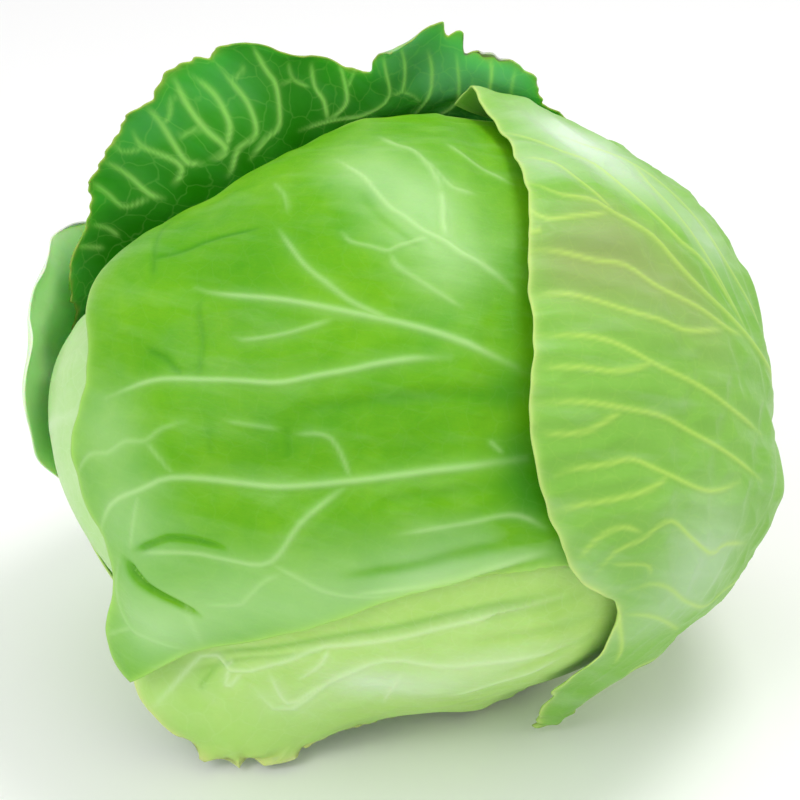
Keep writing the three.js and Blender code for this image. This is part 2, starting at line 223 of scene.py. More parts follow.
flesh, nodes, links = new_material("heart_flesh")
shader = nodes["Principled BSDF"]
streaks = new_node(nodes, links, "TexNoise", {"Scale": 60.0})
ramp = nodes.new("ShaderNodeValToRGB")
ramp.color_ramp.elements[0].color = (0.52, 0.72, 0.25, 1.0)
ramp.color_ramp.elements[1].color = (0.74, 0.85, 0.45, 1.0)
links.new(streaks.outputs["Fac"], ramp.inputs["Fac"])
links.new(ramp.outputs["Color"], shader.inputs["Base Color"])
shader.inputs["Roughness"].default_value = 0.5
new_piece("heart_ball", heart_points, heart_faces, flesh, "heart")

# The stalk: the thick stub that the leaves grow from, cut straight across with a knife.
# Its cut face shows a ring of bundles round a paler pith, and its side has old leaf scars.
STALK_RADIUS = 17.0
STALK_START = 97.0
STALK_END = 119.0
STALK_BEVEL = 1.5
STALK_SIDES = 96
STALK_GROOVES = 9
STALK_GROOVE_DEPTH = 0.35
STALK_GROOVE_TWIST = 0.25
STALK_CUT_MARK_DEPTH = 0.12
STALK_CUT_MARK_RATE = 1.1
PITH_DISH_DEPTH = 0.5
PITH_RADIUS = 4.0

stalk_profile = [(0.0, STALK_START)]
stalk_profile += [(STALK_RADIUS * share, STALK_START) for share in (0.5, 1.0)]
stalk_profile += [(STALK_RADIUS, STALK_START + step) for step in np.linspace(2, 20, 10)]
for angle in np.linspace(0, 90, 6)[1:]:
    bevel = math.radians(angle)
    stalk_profile.append((STALK_RADIUS - STALK_BEVEL * (1 - math.cos(bevel)),
                          STALK_END - STALK_BEVEL * (1 - math.sin(bevel))))
stalk_profile += [(radius, STALK_END) for radius in np.linspace(14.8, 1.0, 14)]
stalk_profile.append((0.0, STALK_END))
stalk_points = []
stalk_rows = len(stalk_profile) - 2
for radius, height in stalk_profile[1:-1]:
    for step in range(STALK_SIDES):
        angle = 2 * math.pi * step / STALK_SIDES
        on_side = smooth((radius - 12) / 4) * smooth((STALK_END - height) / 3)
        twisted = STALK_GROOVES * angle + STALK_GROOVE_TWIST * height
        groove = STALK_GROOVE_DEPTH * on_side * (1 + math.sin(twisted))
        cut_marks = 0.0
        if height == STALK_END:
            cut_marks = STALK_CUT_MARK_DEPTH * math.sin(STALK_CUT_MARK_RATE * radius * math.cos(angle))
            cut_marks -= PITH_DISH_DEPTH * math.exp(-((radius / PITH_RADIUS) ** 2))
        around = math.cos(angle) * FRONT + math.sin(angle) * UPWARD
        stalk_points.append(CENTRE + (radius - groove) * around + (height + cut_marks) * STALK_DIRECTION)
stalk_points.append(CENTRE + STALK_START * STALK_DIRECTION)
stalk_points.append(CENTRE + (STALK_END - PITH_DISH_DEPTH) * STALK_DIRECTION)
stalk_faces = ring_faces(stalk_rows, STALK_SIDES, len(stalk_points) - 2, len(stalk_points) - 1)
stalk_faces = [face[::-1] for face in stalk_faces]

stalk_material, nodes, links = new_material("stalk_flesh")
shader = nodes["Principled BSDF"]
place = nodes.new("ShaderNodeTexCoord")
pith = nodes.new("ShaderNodeVectorMath")
pith.operation = "DISTANCE"
pith.inputs[1].default_value = (CENTRE + STALK_END * STALK_DIRECTION) * MM
links.new(place.outputs["Object"], pith.inputs[0])
ring_ramp = nodes.new("ShaderNodeValToRGB")
ring_scale = nodes.new("ShaderNodeMath")
ring_scale.operation = "MULTIPLY"
ring_scale.inputs[1].default_value = 1 / (1.5 * STALK_RADIUS * MM)
links.new(pith.outputs["Value"], ring_scale.inputs[0])
links.new(ring_scale.outputs["Value"], ring_ramp.inputs["Fac"])
RING_STOPS = ((0.0, (0.80, 0.83, 0.55)), (0.34, (0.82, 0.86, 0.62)), (0.44, (0.55, 0.62, 0.30)),
              (0.52, (0.80, 0.86, 0.60)), (0.68, (0.62, 0.74, 0.38)), (1.0, (0.70, 0.80, 0.46)))
while len(ring_ramp.color_ramp.elements) < len(RING_STOPS):
    ring_ramp.color_ramp.elements.new(0.5)
for element, (position, colour) in zip(ring_ramp.color_ramp.elements, RING_STOPS):
    element.position = position
    element.color = (*colour, 1.0)
browning = new_node(nodes, links, "TexNoise", {"Scale": 220.0, "Detail": 6.0})
# In a node that mixes colours, input 0 is the factor, inputs 6 and 7 and output 2 are colours.
browned = nodes.new("ShaderNodeMix")
browned.data_type = "RGBA"
browned.blend_type = "MULTIPLY"
browned.inputs[7].default_value = (0.86, 0.78, 0.60, 1.0)
links.new(browning.outputs["Fac"], browned.inputs[0])
links.new(ring_ramp.outputs["Color"], browned.inputs[6])
links.new(browned.outputs[2], shader.inputs["Base Color"])
stalk_bump = new_node(nodes, links, "Bump", {
    "Strength": 0.4, "Distance": 0.0006, "Height": browning.outputs["Fac"]})
links.new(stalk_bump.outputs["Normal"], shader.inputs["Normal"])
shader.inputs["Roughness"].default_value = 0.6
new_piece("stalk_stub", np.array(stalk_points), stalk_faces, stalk_material, "stalk")

# The leaves all lie on the heart in layers, so the way that each is cut and lies comes first.
# Each is one blade, thin at its rim, that grows from the stalk and is draped over the leaves
# inside it. Rims are in degrees on the head, across and along from the middle of the leaf.
BLADE_THICKNESS = 1.6
RIM_THICKNESS = 1.1
RIM_FADE = 12.0
THIN_RIM = 0.45
THIN_RIM_FADE = 5.0
LEAF_GAP = 1.3
STALK_GAP = 0.6
RIPPLE_TURNS = 0.21
RIPPLE_FADE = 14.0
RIDE_FULL = 5.0
RIDE_END = 26.0
COVER_FULL = 7.0
COVER_END = 16.0
MM_PER_DEGREE = 1.62
CURVE_STEPS = 200
leaves = []


class Spline:
    """A smooth curve through given points, walked by its length from 0 to 1."""

    def __init__(self, points):
        self.points = np.array(points, float)
        self.shares = np.linspace(0, 1, CURVE_STEPS + 1)
        samples = self.point(self.shares)
        steps = np.linalg.norm(np.diff(samples, axis=0), axis=1)
        lengths = np.concatenate(([0.0], np.cumsum(steps)))
        self.walked = lengths / lengths[-1]

    def point(self, share):
        count = len(self.points)
        place = np.asarray(share) * (count - 1)
        index = np.clip(np.floor(place).astype(int), 0, count - 1)
        weight = (place - index)[..., None]
        before = self.points[np.where(index == 0, index, index - 1)]
        start = self.points[index]
        end = self.points[np.minimum(index + 1, count - 1)]
        after = self.points[np.minimum(index + 2, count - 1)]
        leave = (end - before) * 0.5
        arrive = (after - start) * 0.5
        return ((2 * start - 2 * end + leave + arrive) * weight ** 3
                + (-3 * start + 3 * end - 2 * leave - arrive) * weight ** 2
                + leave * weight + start)

    def along(self, share):
        return self.point(np.interp(share, self.walked, self.shares))


def direction_at(from_stalk, turn):
    """Direction at some degrees from the stalk and some degrees of turn about it."""
    polar = np.radians(from_stalk)[..., None]
    around = np.radians(turn)[..., None]
    sideways = np.cos(around) * FRONT + np.sin(around) * UPWARD
    return np.cos(polar) * STALK_DIRECTION + np.sin(polar) * sideways


def rim_distance(points, outline):
    """Distance in mm from points of a leaf's map to its rim, positive inside the leaf."""
    nearest = np.full(len(points), np.inf)
    inside = np.zeros(len(points), bool)
    for a, b in zip(np.roll(outline, 1, axis=0), outline):
        edge = b - a
        length = edge @ edge
        if length < 1e-12:
            continue
        offset = points - a
        share = np.clip(offset @ edge / length, 0, 1)
        gap = offset - share[:, None] * edge
        nearest = np.minimum(nearest, (gap * gap).sum(axis=1))
        crosses = (a[1] > points[:, 1]) != (b[1] > points[:, 1])
        if edge[1] != 0:
            left = points[:, 0] < edge[0] * (points[:, 1] - a[1]) / edge[1] + a[0]
            inside ^= crosses & left
    return np.sqrt(nearest) * MM_PER_DEGREE * np.where(inside, 1, -1)


def height_inside(directions, order):
    """Height over the heart of the leaves that lie inside the leaf of this order."""
    height = np.full(len(directions), LEAF_GAP / 2)
    for inner in leaves[:order]:
        points = inner.to_map(directions)
        distance = rim_distance(points, inner.outline)
        ride = smooth((distance + RIDE_END) / (RIDE_END - RIDE_FULL))
        height += ride * (BLADE_THICKNESS + LEAF_GAP + inner.own_lift(points, distance))
    return height


class Leaf:
    """A leaf's map: degrees on the head, across and along from the leaf's middle."""

    def __init__(self, node, middle, foot_half_turn, low, tip, high, lifts=(), ripple=0.0):
        self.node = node
        self.order = len(leaves)
        self.middle_turn = middle[1]
        self.foot_half_turn = foot_half_turn
        self.lifts = lifts
        self.ripple = ripple
        self.middle = direction_at(np.array(middle[0]), np.array(middle[1]))
        self.along = -unit(STALK_DIRECTION - STALK_DIRECTION.dot(self.middle) * self.middle)
        self.across = np.cross(self.along, self.middle)
        feet = self.foot_points(np.linspace(0, 1, 5))
        self.foot_curve = Spline(feet)
        self.low_curve = Spline([feet[0], *low])
        self.high_curve = Spline([feet[4], *high])
        self.tip_curve = Spline(tip)
        self.outline = np.concatenate((
            self.low_curve.along(np.linspace(0, 1, 31)),
            self.tip_curve.along(np.linspace(0, 1, 37)),
            self.high_curve.along(np.linspace(1, 0, 31)),
        ))
        leaves.append(self)

    def to_direction(self, points):
        angle = np.hypot(points[..., 0], points[..., 1])
        safe = np.maximum(angle, 1e-6)
        stretch = (np.sin(np.radians(safe)) / safe)[..., None]
        return (np.cos(np.radians(angle))[..., None] * self.middle
                + stretch * points[..., :1] * self.across
                + stretch * points[..., 1:] * self.along)

    def to_map(self, directions):
        angle = np.arccos(np.clip(directions @ self.middle, -1, 1))
        safe = np.maximum(angle, 1e-6)
        stretch = np.degrees(safe / np.sin(safe))
        return np.stack((stretch * (directions @ self.across),
                         stretch * (directions @ self.along)), axis=-1)

    def foot_points(self, shares):
        turn = self.middle_turn + self.foot_half_turn * (2 * shares - 1)
        from_stalk = np.full(len(shares), math.degrees(math.asin(STALK_RADIUS / STALK_SEAT_DISTANCE)))
        for _ in range(3):
            directions = direction_at(from_stalk, turn)
            radius = heart_radius(directions) + height_inside(directions, self.order)
            from_stalk = np.degrees(np.arcsin((STALK_RADIUS + STALK_GAP) / radius))
        return self.to_map(direction_at(from_stalk, turn))

    def own_lift(self, points, distance):
        wave = np.sin(RIPPLE_TURNS * points[:, 0]) * np.sin(RIPPLE_TURNS * points[:, 1] + 1)
        height = self.ripple * (1 + wave) * np.exp(-np.maximum(distance, 0) / RIPPLE_FADE) / 2
        for across, along, lift, reach in self.lifts:
            away = np.hypot(points[:, 0] - across, points[:, 1] - along) / reach
            height += lift * np.exp(-away * away)
        return height

    def patch(self, across, along):
        """Map points of the patch between the foot, the two long sides and the tip."""
        u = across[..., None]
        v = along[..., None]
        low = self.low_curve.along(along)
        high = self.high_curve.along(along)
        foot = self.foot_curve.along(across)
        tip = self.tip_curve.along(across)
        corners = ((1 - u) * (1 - v) * self.foot_curve.points[0] + u * (1 - v) * self.foot_curve.points[-1]
                   + (1 - u) * v * self.tip_curve.points[0] + u * v * self.tip_curve.points[-1])
        return (1 - u) * low + u * high + (1 - v) * foot + v * tip - corners

    def radius(self, directions):
        """Radius of the leaf's inner face in some directions."""
        points = self.to_map(directions)
        distance = rim_distance(points, self.outline)
        return (heart_radius(directions) + height_inside(directions, self.order)
                + self.own_lift(points, distance))


crown_leaf = Leaf(
    "crown_leaf", middle=(110, -130), foot_half_turn=40,
    low=((-16, -70), (-34, -30), (-44, 5), (-38, 48), (-24, 74)),
    tip=((-24, 74), (0, 81), (24, 78), (40, 64)),
    high=((12, -72), (20, -35), (38, 5), (46, 40), (40, 64)))
top_inner_leaf = Leaf(
    "top_inner_leaf", middle=(95, 122), foot_half_turn=45,
    low=((-28, -60), (-46, -20), (-50, 15), (-38, 48), (-20, 68)),
    tip=((-20, 68), (2, 74), (24, 66)),
    high=((28, -60), (46, -20), (50, 15), (42, 46), (24, 66)))
underside_leaf = Leaf(
    "underside_leaf", middle=(85, -95), foot_half_turn=45,
    low=((-30, -50), (-46, -15), (-48, 18), (-38, 40), (-22, 54)),
    tip=((-22, 54), (0, 58), (20, 52), (34, 40)),
    high=((28, -52), (44, -20), (50, 6), (44, 26), (34, 40)))
skirt_leaf = Leaf(
    "skirt_leaf", middle=(95, -25), foot_half_turn=40,
    low=((-16, -62), (-20, -36), (-24, -16), (-26, 0), (-29, 9), (-31, 15), (-33, 21)),
    tip=((-33, 21), (-35, 26), (-36, 31), (-38, 37), (-36, 42), (-22, 48), (-4, 48), (14, 42)),
    high=((34, -60), (46, -20), (38, 14), (14, 42)),
    lifts=((-39, 29, 19, 12), (-34, 14, 19, 11)), ripple=1.5)
front_leaf = Leaf(
    "front_leaf", middle=(105, 25), foot_half_turn=48,
    low=((-15, -70), (-12, -40), (-11, -18), (-18, 4), (-29, 20), (-40, 32), (-49, 43), (-60, 50)),
    tip=((-60, 50), (-58, 56), (-49, 59), (-41, 59), (-35, 60), (-27, 67), (-17, 73), (-4, 72),
         (6, 73), (18, 80), (36, 84)),
    high=((42, -62), (72, -28), (84, 8), (78, 44), (60, 70), (36, 84)),
    lifts=((-58, 50, 4, 12),), ripple=0.8)
right_leaf = Leaf(
    "right_leaf", middle=(62, 30), foot_half_turn=55,
    low=((-24, -40), (-27, -22), (-32, -14), (-39, -9), (-46, -11), (-54, -15)),
    tip=((-54, -15), (-58, -12), (-54, -5), (-49, 0), (-46, 6), (-39, 7), (-32, 11), (-22, 18),
         (-18, 29), (-6, 39), (6, 43), (20, 42), (33, 40), (51, 33), (63, 26), (74, 20), (83, 12),
         (92, -1)),
    high=((36, -56), (64, -46), (84, -24), (92, -1)),
    lifts=((12, 42, 5, 16), (45, 36, 4, 14), (85, 8, 4, 12), (-56, -15, 9, 10), (-36, -12, 4, 14),
           (-4, -19, 0.5, 14)), ripple=1.0)
back_leaf = Leaf(
    "back_leaf", middle=(95, 175), foot_half_turn=50,
    low=((-28, -70), (-46, -46), (-56, -22), (-60, -13), (-56, -6), (-54, 0), (-55, 8)),
    tip=((-55, 8), (-53, 13), (-47, 12), (-44, 11), (-41, 17), (-40, 25), (-38, 32),
         (-29, 34), (-21, 38), (-13, 42), (-5, 44), (2, 44), (7, 48), (11, 50), (16, 47), (28, 40)),
    high=((28, -70), (46, -34), (50, 2), (42, 26), (28, 40)),
    lifts=((-60, -7, 7, 13), (-53, 9, 13, 13), (-38, 18, 11, 9), (-39, 31, 3, 5), (-34, 34, 28, 13),
           (-18, 41, 28, 13), (1, 46, 17, 13)), ripple=2.2)
left_leaf = Leaf(
    "left_leaf", middle=(110, 215), foot_half_turn=38,
    low=((-20, -76), (-34, -40), (-42, -5), (-34, 17), (-24, 30)),
    tip=((-24, 30), (-20, 36), (-15, 42), (-10, 44), (-3, 48), (6, 49), (12, 42), (20, 22)),
    high=((18, -76), (27, -48), (31, -22), (28, 4), (20, 22)),
    lifts=((1, 15, 0.4, 12), (-26, 30, 3, 8), (-10, 45, 5, 8), (4, 46, 4, 10)), ripple=1.2)


FAR_SIDE_START = 60.0
FAR_SIDE_END = 130.0
FAR_SIDE_STEPS = 150
FIRST_REACH = 100.0
REACH_STEPS = 12


def far_crossings(leaf, offset, rays):
    """How far along each ray it last leaves the space inside a leaf."""
    steps = np.linspace(CAMERA_DISTANCE - FAR_SIDE_START, CAMERA_DISTANCE + FAR_SIDE_END, FAR_SIDE_STEPS)
    points = offset + steps[None, :, None] * rays[:, None, :]
    inner_radius = leaf.radius(unit(points.reshape(-1, 3))).reshape(len(rays), -1)
    outside = np.linalg.norm(points, axis=2) - inner_radius
    closest = np.argmin(outside, axis=1)
    last = len(steps) - 2 - np.argmax((outside < 0)[:, -2::-1], axis=1)
    rows = np.arange(len(rays))
    before, after = outside[rows, last], outside[rows, last + 1]
    share = np.clip(before / np.minimum(before - after, -1e-6), 0, 1)
    crossing = steps[last] + share * (steps[1] - steps[0])
    return np.where(outside.min(axis=1) < 0, crossing, steps[closest])


def pixels_to_surface(leaf, pixels, far_side=False):
    """Points of a leaf's surface that are seen at some pixels of the picture, as map points."""
    pixels = np.array(pixels, float)
    focal = LENS_MM / SENSOR_MM * PICTURE_SIZE
    across = (pixels[:, :1] - PICTURE_SIZE / 2) / focal
    up = (PICTURE_SIZE / 2 - pixels[:, 1:]) / focal
    rays = unit(across * RIGHT + up * UP - TOWARDS_CAMERA)
    offset = camera_place - CENTRE
    if far_side:
        return leaf.to_map(unit(offset + far_crossings(leaf, offset, rays)[:, None] * rays))
    middle = -(rays @ offset)
    reach = np.full(len(pixels), FIRST_REACH)
    for _ in range(REACH_STEPS):
        depth = middle ** 2 - offset @ offset + reach ** 2
        half_chord = np.sqrt(np.maximum(depth, 0))
        points = offset + (middle - half_chord)[:, None] * rays
        directions = unit(points)
        reach = 0.5 * reach + 0.5 * (leaf.radius(directions) + BLADE_THICKNESS / 2)
    return leaf.to_map(directions)


SEEN_SIDE_LIMIT = 0.12
SEEN_SIDE_FADE = 0.15
THINNEST_VEIN = 0.02
FADED_END = 0.25
FADE_LENGTH = 0.15
FAR_FROM_VEIN = 9.0
VEIN_FULL_COLOUR = 0.9
SHARPEST_VEIN = 1.5
CORE_NARROWING = 1.3
GLOW_NARROWING = 0.4
RIB_STRENGTH = 0.5
MIDRIB_SWAY = 0.012
MIDRIB_END = 0.25
FIRST_RIB = 0.02
LAST_RIB = 0.74
RIB_ZIGZAG = 0.008
RIB_SPREAD = 0.46
RIB_END = 0.3
FORK_PLACES = (0.32, 0.55, 0.76)
FORK_LENGTHS = (0.05, 0.1)
FORK_BEND = 0.01
FORK_STRENGTH = 0.6


class Veins:
    """Raised lines of one leaf, each a path on the leaf that tapers in width and height.

    A negative height makes a groove, and a negative strength paints a line of shade in it.
    The core is how strongly the middle of a vein is coloured, and the glow how strongly its sides."""

    def __init__(self, leaf, core=0.45, glow=0.2, narrowing=1.0):
        self.leaf = leaf
        self.core = core
        self.glow = glow
        self.narrowing = narrowing
        self.paths = []
        self.skip_seen_side = False

    def add(self, map_points, widths, height, strength=1.0):
        """Adds a vein through points of the map, with a width in mm at each end."""
        curve = Spline(map_points)
        steps = max(4, 3 * len(map_points))
        shares = np.linspace(0, 1, steps + 1)
        directions = self.leaf.to_direction(curve.along(shares))
        points = directions * self.leaf.radius(directions)[:, None]
        taper = self.narrowing * (widths[0] + (widths[1] - widths[0]) * shares)
        if self.skip_seen_side:
            facing = unit(points) @ TOWARDS_CAMERA
            taper = taper * smooth((SEEN_SIDE_LIMIT - facing) / SEEN_SIDE_FADE)
        taper = np.maximum(taper, THINNEST_VEIN)
        fade = FADED_END + (1 - FADED_END) * smooth(np.minimum(shares, 1 - shares) / FADE_LENGTH)
        self.paths.append((points, taper, height * fade * taper / (self.narrowing * max(widths)),
                           strength * fade))

    def add_seen(self, pixels, widths, height, strength=1.0, far_side=False):
        """Adds a vein through the places of the leaf that show at some pixels of the picture."""
        self.add(pixels_to_surface(self.leaf, pixels, far_side), widths, height, strength)

    def grow(self, seed, pairs, midrib_width, side_width, midrib_height, side_height, reach=0.93):
        """The leaf's own net of ribs: a midrib, side ribs that curve to the rim, and their forks."""
        random = np.random.default_rng(seed)
        along = np.linspace(0, reach, 12)
        sway = 0.5 + MIDRIB_SWAY * np.sin(5 * along + random.uniform(0, 6))
        self.add_on_patch(sway, along, (midrib_width, MIDRIB_END * midrib_width), midrib_height)
        for side in (-1, 1):
            for pair in range(pairs):
                share = (pair + 0.5 + random.uniform(-0.2, 0.2)) / pairs
                start = FIRST_RIB + (LAST_RIB - FIRST_RIB) * share ** 1.2
                rise = (0.42 - 0.14 * share) * (1 - start) + 0.16
                steps = np.linspace(0, 1, 8)
                zigzag = RIB_ZIGZAG * np.cumsum(random.normal(size=8)) * steps
                spread = RIB_SPREAD * (1 - 0.1 * share) * steps ** 0.85
                u = 0.5 + side * (spread + zigzag)
                v = start + rise * steps ** (0.75 + 0.3 * share) + 0.5 * zigzag
                thick = side_width * (1 - 0.45 * share)
                self.add_on_patch(u, v, (thick, RIB_END * thick), side_height)
                for fork in FORK_PLACES:
                    place = fork + random.uniform(-0.06, 0.06)
                    foot = (np.interp(place, steps, u), np.interp(place, steps, v))
                    for turn in (-1, 1):
                        self.add_fork(random, foot, side, turn, thick, 0.45 * side_height)

    def add_fork(self, random, foot, side, turn, thick, height):
        """A small rib that leaves a side rib, turned towards the leaf's tip or towards its foot."""
        across_share, along_share = (0.9, 0.55) if turn > 0 else (0.35, 0.9)
        walk = random.uniform(*FORK_LENGTHS) * np.linspace(0, 1, 5)
        bend = FORK_BEND * random.normal(size=5) * np.linspace(0, 1, 5)
        u = foot[0] + side * across_share * walk + bend
        v = foot[1] + turn * along_share * walk - bend
        self.add_on_patch(u, v, (0.4 * thick, 0.12 * thick), height, FORK_STRENGTH)

    def add_on_patch(self, across, along, widths, height, strength=1.0):
        """Adds a vein through shares of the leaf's patch, kept off its rim."""
        u = np.clip(across, 0.01, 0.99)
        v = np.clip(along, 0.0, 0.985)
        self.add(self.leaf.patch(u, v), widths, height, strength)

    def fields(self, points, spacing):
        """Height, vein colour, distance to the nearest vein and painted crease shade at points of the leaf.

        The spacing is the distance between neighbouring points, which no vein is narrower than."""
        relief = np.zeros(len(points))
        colour = np.zeros(len(points))
        shade = np.zeros(len(points))
        nearest = np.full(len(points), FAR_FROM_VEIN)
        for path, widths, heights, strengths in self.paths:
            low = path.min(axis=0) - FAR_FROM_VEIN
            high = path.max(axis=0) + FAR_FROM_VEIN
            picked = np.nonzero(((points > low) & (points < high)).all(axis=1))[0]
            if len(picked) == 0:
                continue
            close = points[picked]
            best = np.full(len(picked), np.inf)
            width = np.full(len(picked), widths[0])
            height = np.zeros(len(picked))
            strength = np.zeros(len(picked))
            for i in range(len(path) - 1):
                edge = path[i + 1] - path[i]
                offset = close - path[i]
                share = np.clip(offset @ edge / max(edge @ edge, 1e-9), 0, 1)
                gap = np.linalg.norm(offset - share[:, None] * edge, axis=1)
                nearer = gap < best
                best[nearer] = gap[nearer]
                width[nearer] = (widths[i] + share * (widths[i + 1] - widths[i]))[nearer]
                height[nearer] = (heights[i] + share * (heights[i + 1] - heights[i]))[nearer]
                strength[nearer] = (strengths[i] + share * (strengths[i + 1] - strengths[i]))[nearer]
            across = best / (0.5 * np.hypot(width, SHARPEST_VEIN * spacing[picked]))
            ridge = height * np.exp(-across ** 2)
            relief[picked] = np.where(np.abs(ridge) > np.abs(relief[picked]), ridge, relief[picked])
            seen = strength * smooth(width / VEIN_FULL_COLOUR)
            tint = seen * (self.core * np.exp(-(across * CORE_NARROWING) ** 2)
                           + self.glow * np.exp(-(across * GLOW_NARROWING) ** 2))
            colour[picked] = np.maximum(colour[picked], tint)
            # Painted shade along creases, from their negative strength.
            shade[picked] = np.maximum(shade[picked], -strength * np.exp(-across ** 2))
            if strengths.max() >= RIB_STRENGTH:
                nearest[picked] = np.minimum(nearest[picked], best)
        return relief, colour, nearest, shade


LINE_SAMPLES = 401
RIM_WAVES = range(7, 90, 4)
FINE_RIM_WAVES = 30
RIM_WAVE_DIVISOR = 3
TOOTH_SEED = 100
TOOTH_WAVES = 8
TOOTH_WAVE_DIVISOR = 2.6
SLOW_WAVES = 7
RIM_UNEVEN_DEPTH = 6.0
TOOTH_DEPTH = 2.5
FRILL_DEPTH = 3.0
FRILL_HEIGHT = 16.0
RIM_CURL_LENGTH = 26.0
RIM_CURL_DEPTH = 7.0
FOOT_WITHOUT_TEETH = 0.15
FOOT_WITHOUT_SWELL = 0.1
HIDDEN_RELIEF_LOSS = 0.6


def line_places(count, dense, density):
    """Places from 0 to 1 of a mesh's lines, closer together over one stretch."""
    shares = np.linspace(0, 1, LINE_SAMPLES)
    weight = np.where((shares >= dense[0]) & (shares <= dense[1]), density, 1.0)
    walked = np.concatenate(([0.0], np.cumsum(0.5 * (weight[1:] + weight[:-1]))))
    return np.interp(np.linspace(0, walked[-1], count), walked, shares)


def mesh_spacing(grid):
    """The larger distance from each point of a mesh to the next one, along its rows or across them."""
    along = np.linalg.norm(np.diff(grid, axis=0, append=2 * grid[-1:] - grid[-2:-1]), axis=2)
    across = np.linalg.norm(np.diff(grid, axis=1, append=2 * grid[:, -1:] - grid[:, -2:-1]), axis=2)
    return np.maximum(along, across).ravel()


def rim_noise(angles, seed, coarse, fine):
    """Uneven line of a leaf's rim, as a sum of waves round the leaf."""
    random = np.random.default_rng(seed)
    total = np.zeros(len(angles))
    for waves in RIM_WAVES:
        amount = (coarse if waves < FINE_RIM_WAVES else fine) / RIM_WAVE_DIVISOR
        total += amount * random.normal() * np.sin(waves * angles + random.uniform(0, 2 * np.pi))
    return total


def rim_teeth(flat, seed, spacing):
    """Small irregular teeth of a torn rim, from -1 to 1, as waves over the leaf's map."""
    random = np.random.default_rng(seed + TOOTH_SEED)
    total = np.zeros(len(flat))
    for _ in range(TOOTH_WAVES):
        heading = random.uniform(0, 2 * np.pi)
        rate = 2 * np.pi / spacing * random.uniform(0.6, 1.9)
        walked = flat @ (np.cos(heading), np.sin(heading))
        total += np.sin(rate * walked + random.uniform(0, 2 * np.pi))
    return np.clip(total / TOOTH_WAVE_DIVISOR, -1, 1)


def free_of_cover(directions, order):
    """1 where no outer leaf covers a direction, 0 where one does."""
    cover = np.zeros(len(directions))
    for outer in leaves[order + 1:]:
        distance = rim_distance(outer.to_map(directions), outer.outline)
        cover = np.maximum(cover, smooth((distance + COVER_END) / (COVER_END - COVER_FULL)))
    return 1 - cover


def slow_waves(points, seed, length):
    """Gentle undulation from 0 to 1 over the leaf, with waves of about one length in mm."""
    random = np.random.default_rng(seed)
    total = np.zeros(len(points))
    for _ in range(SLOW_WAVES):
        heading = random.normal(size=3)
        heading *= random.uniform(0.7, 1.5) * 2 * np.pi / length / np.linalg.norm(heading)
        total += np.sin(points @ heading + random.uniform(0, 2 * np.pi))
    return smooth(0.5 + total / SLOW_WAVES)


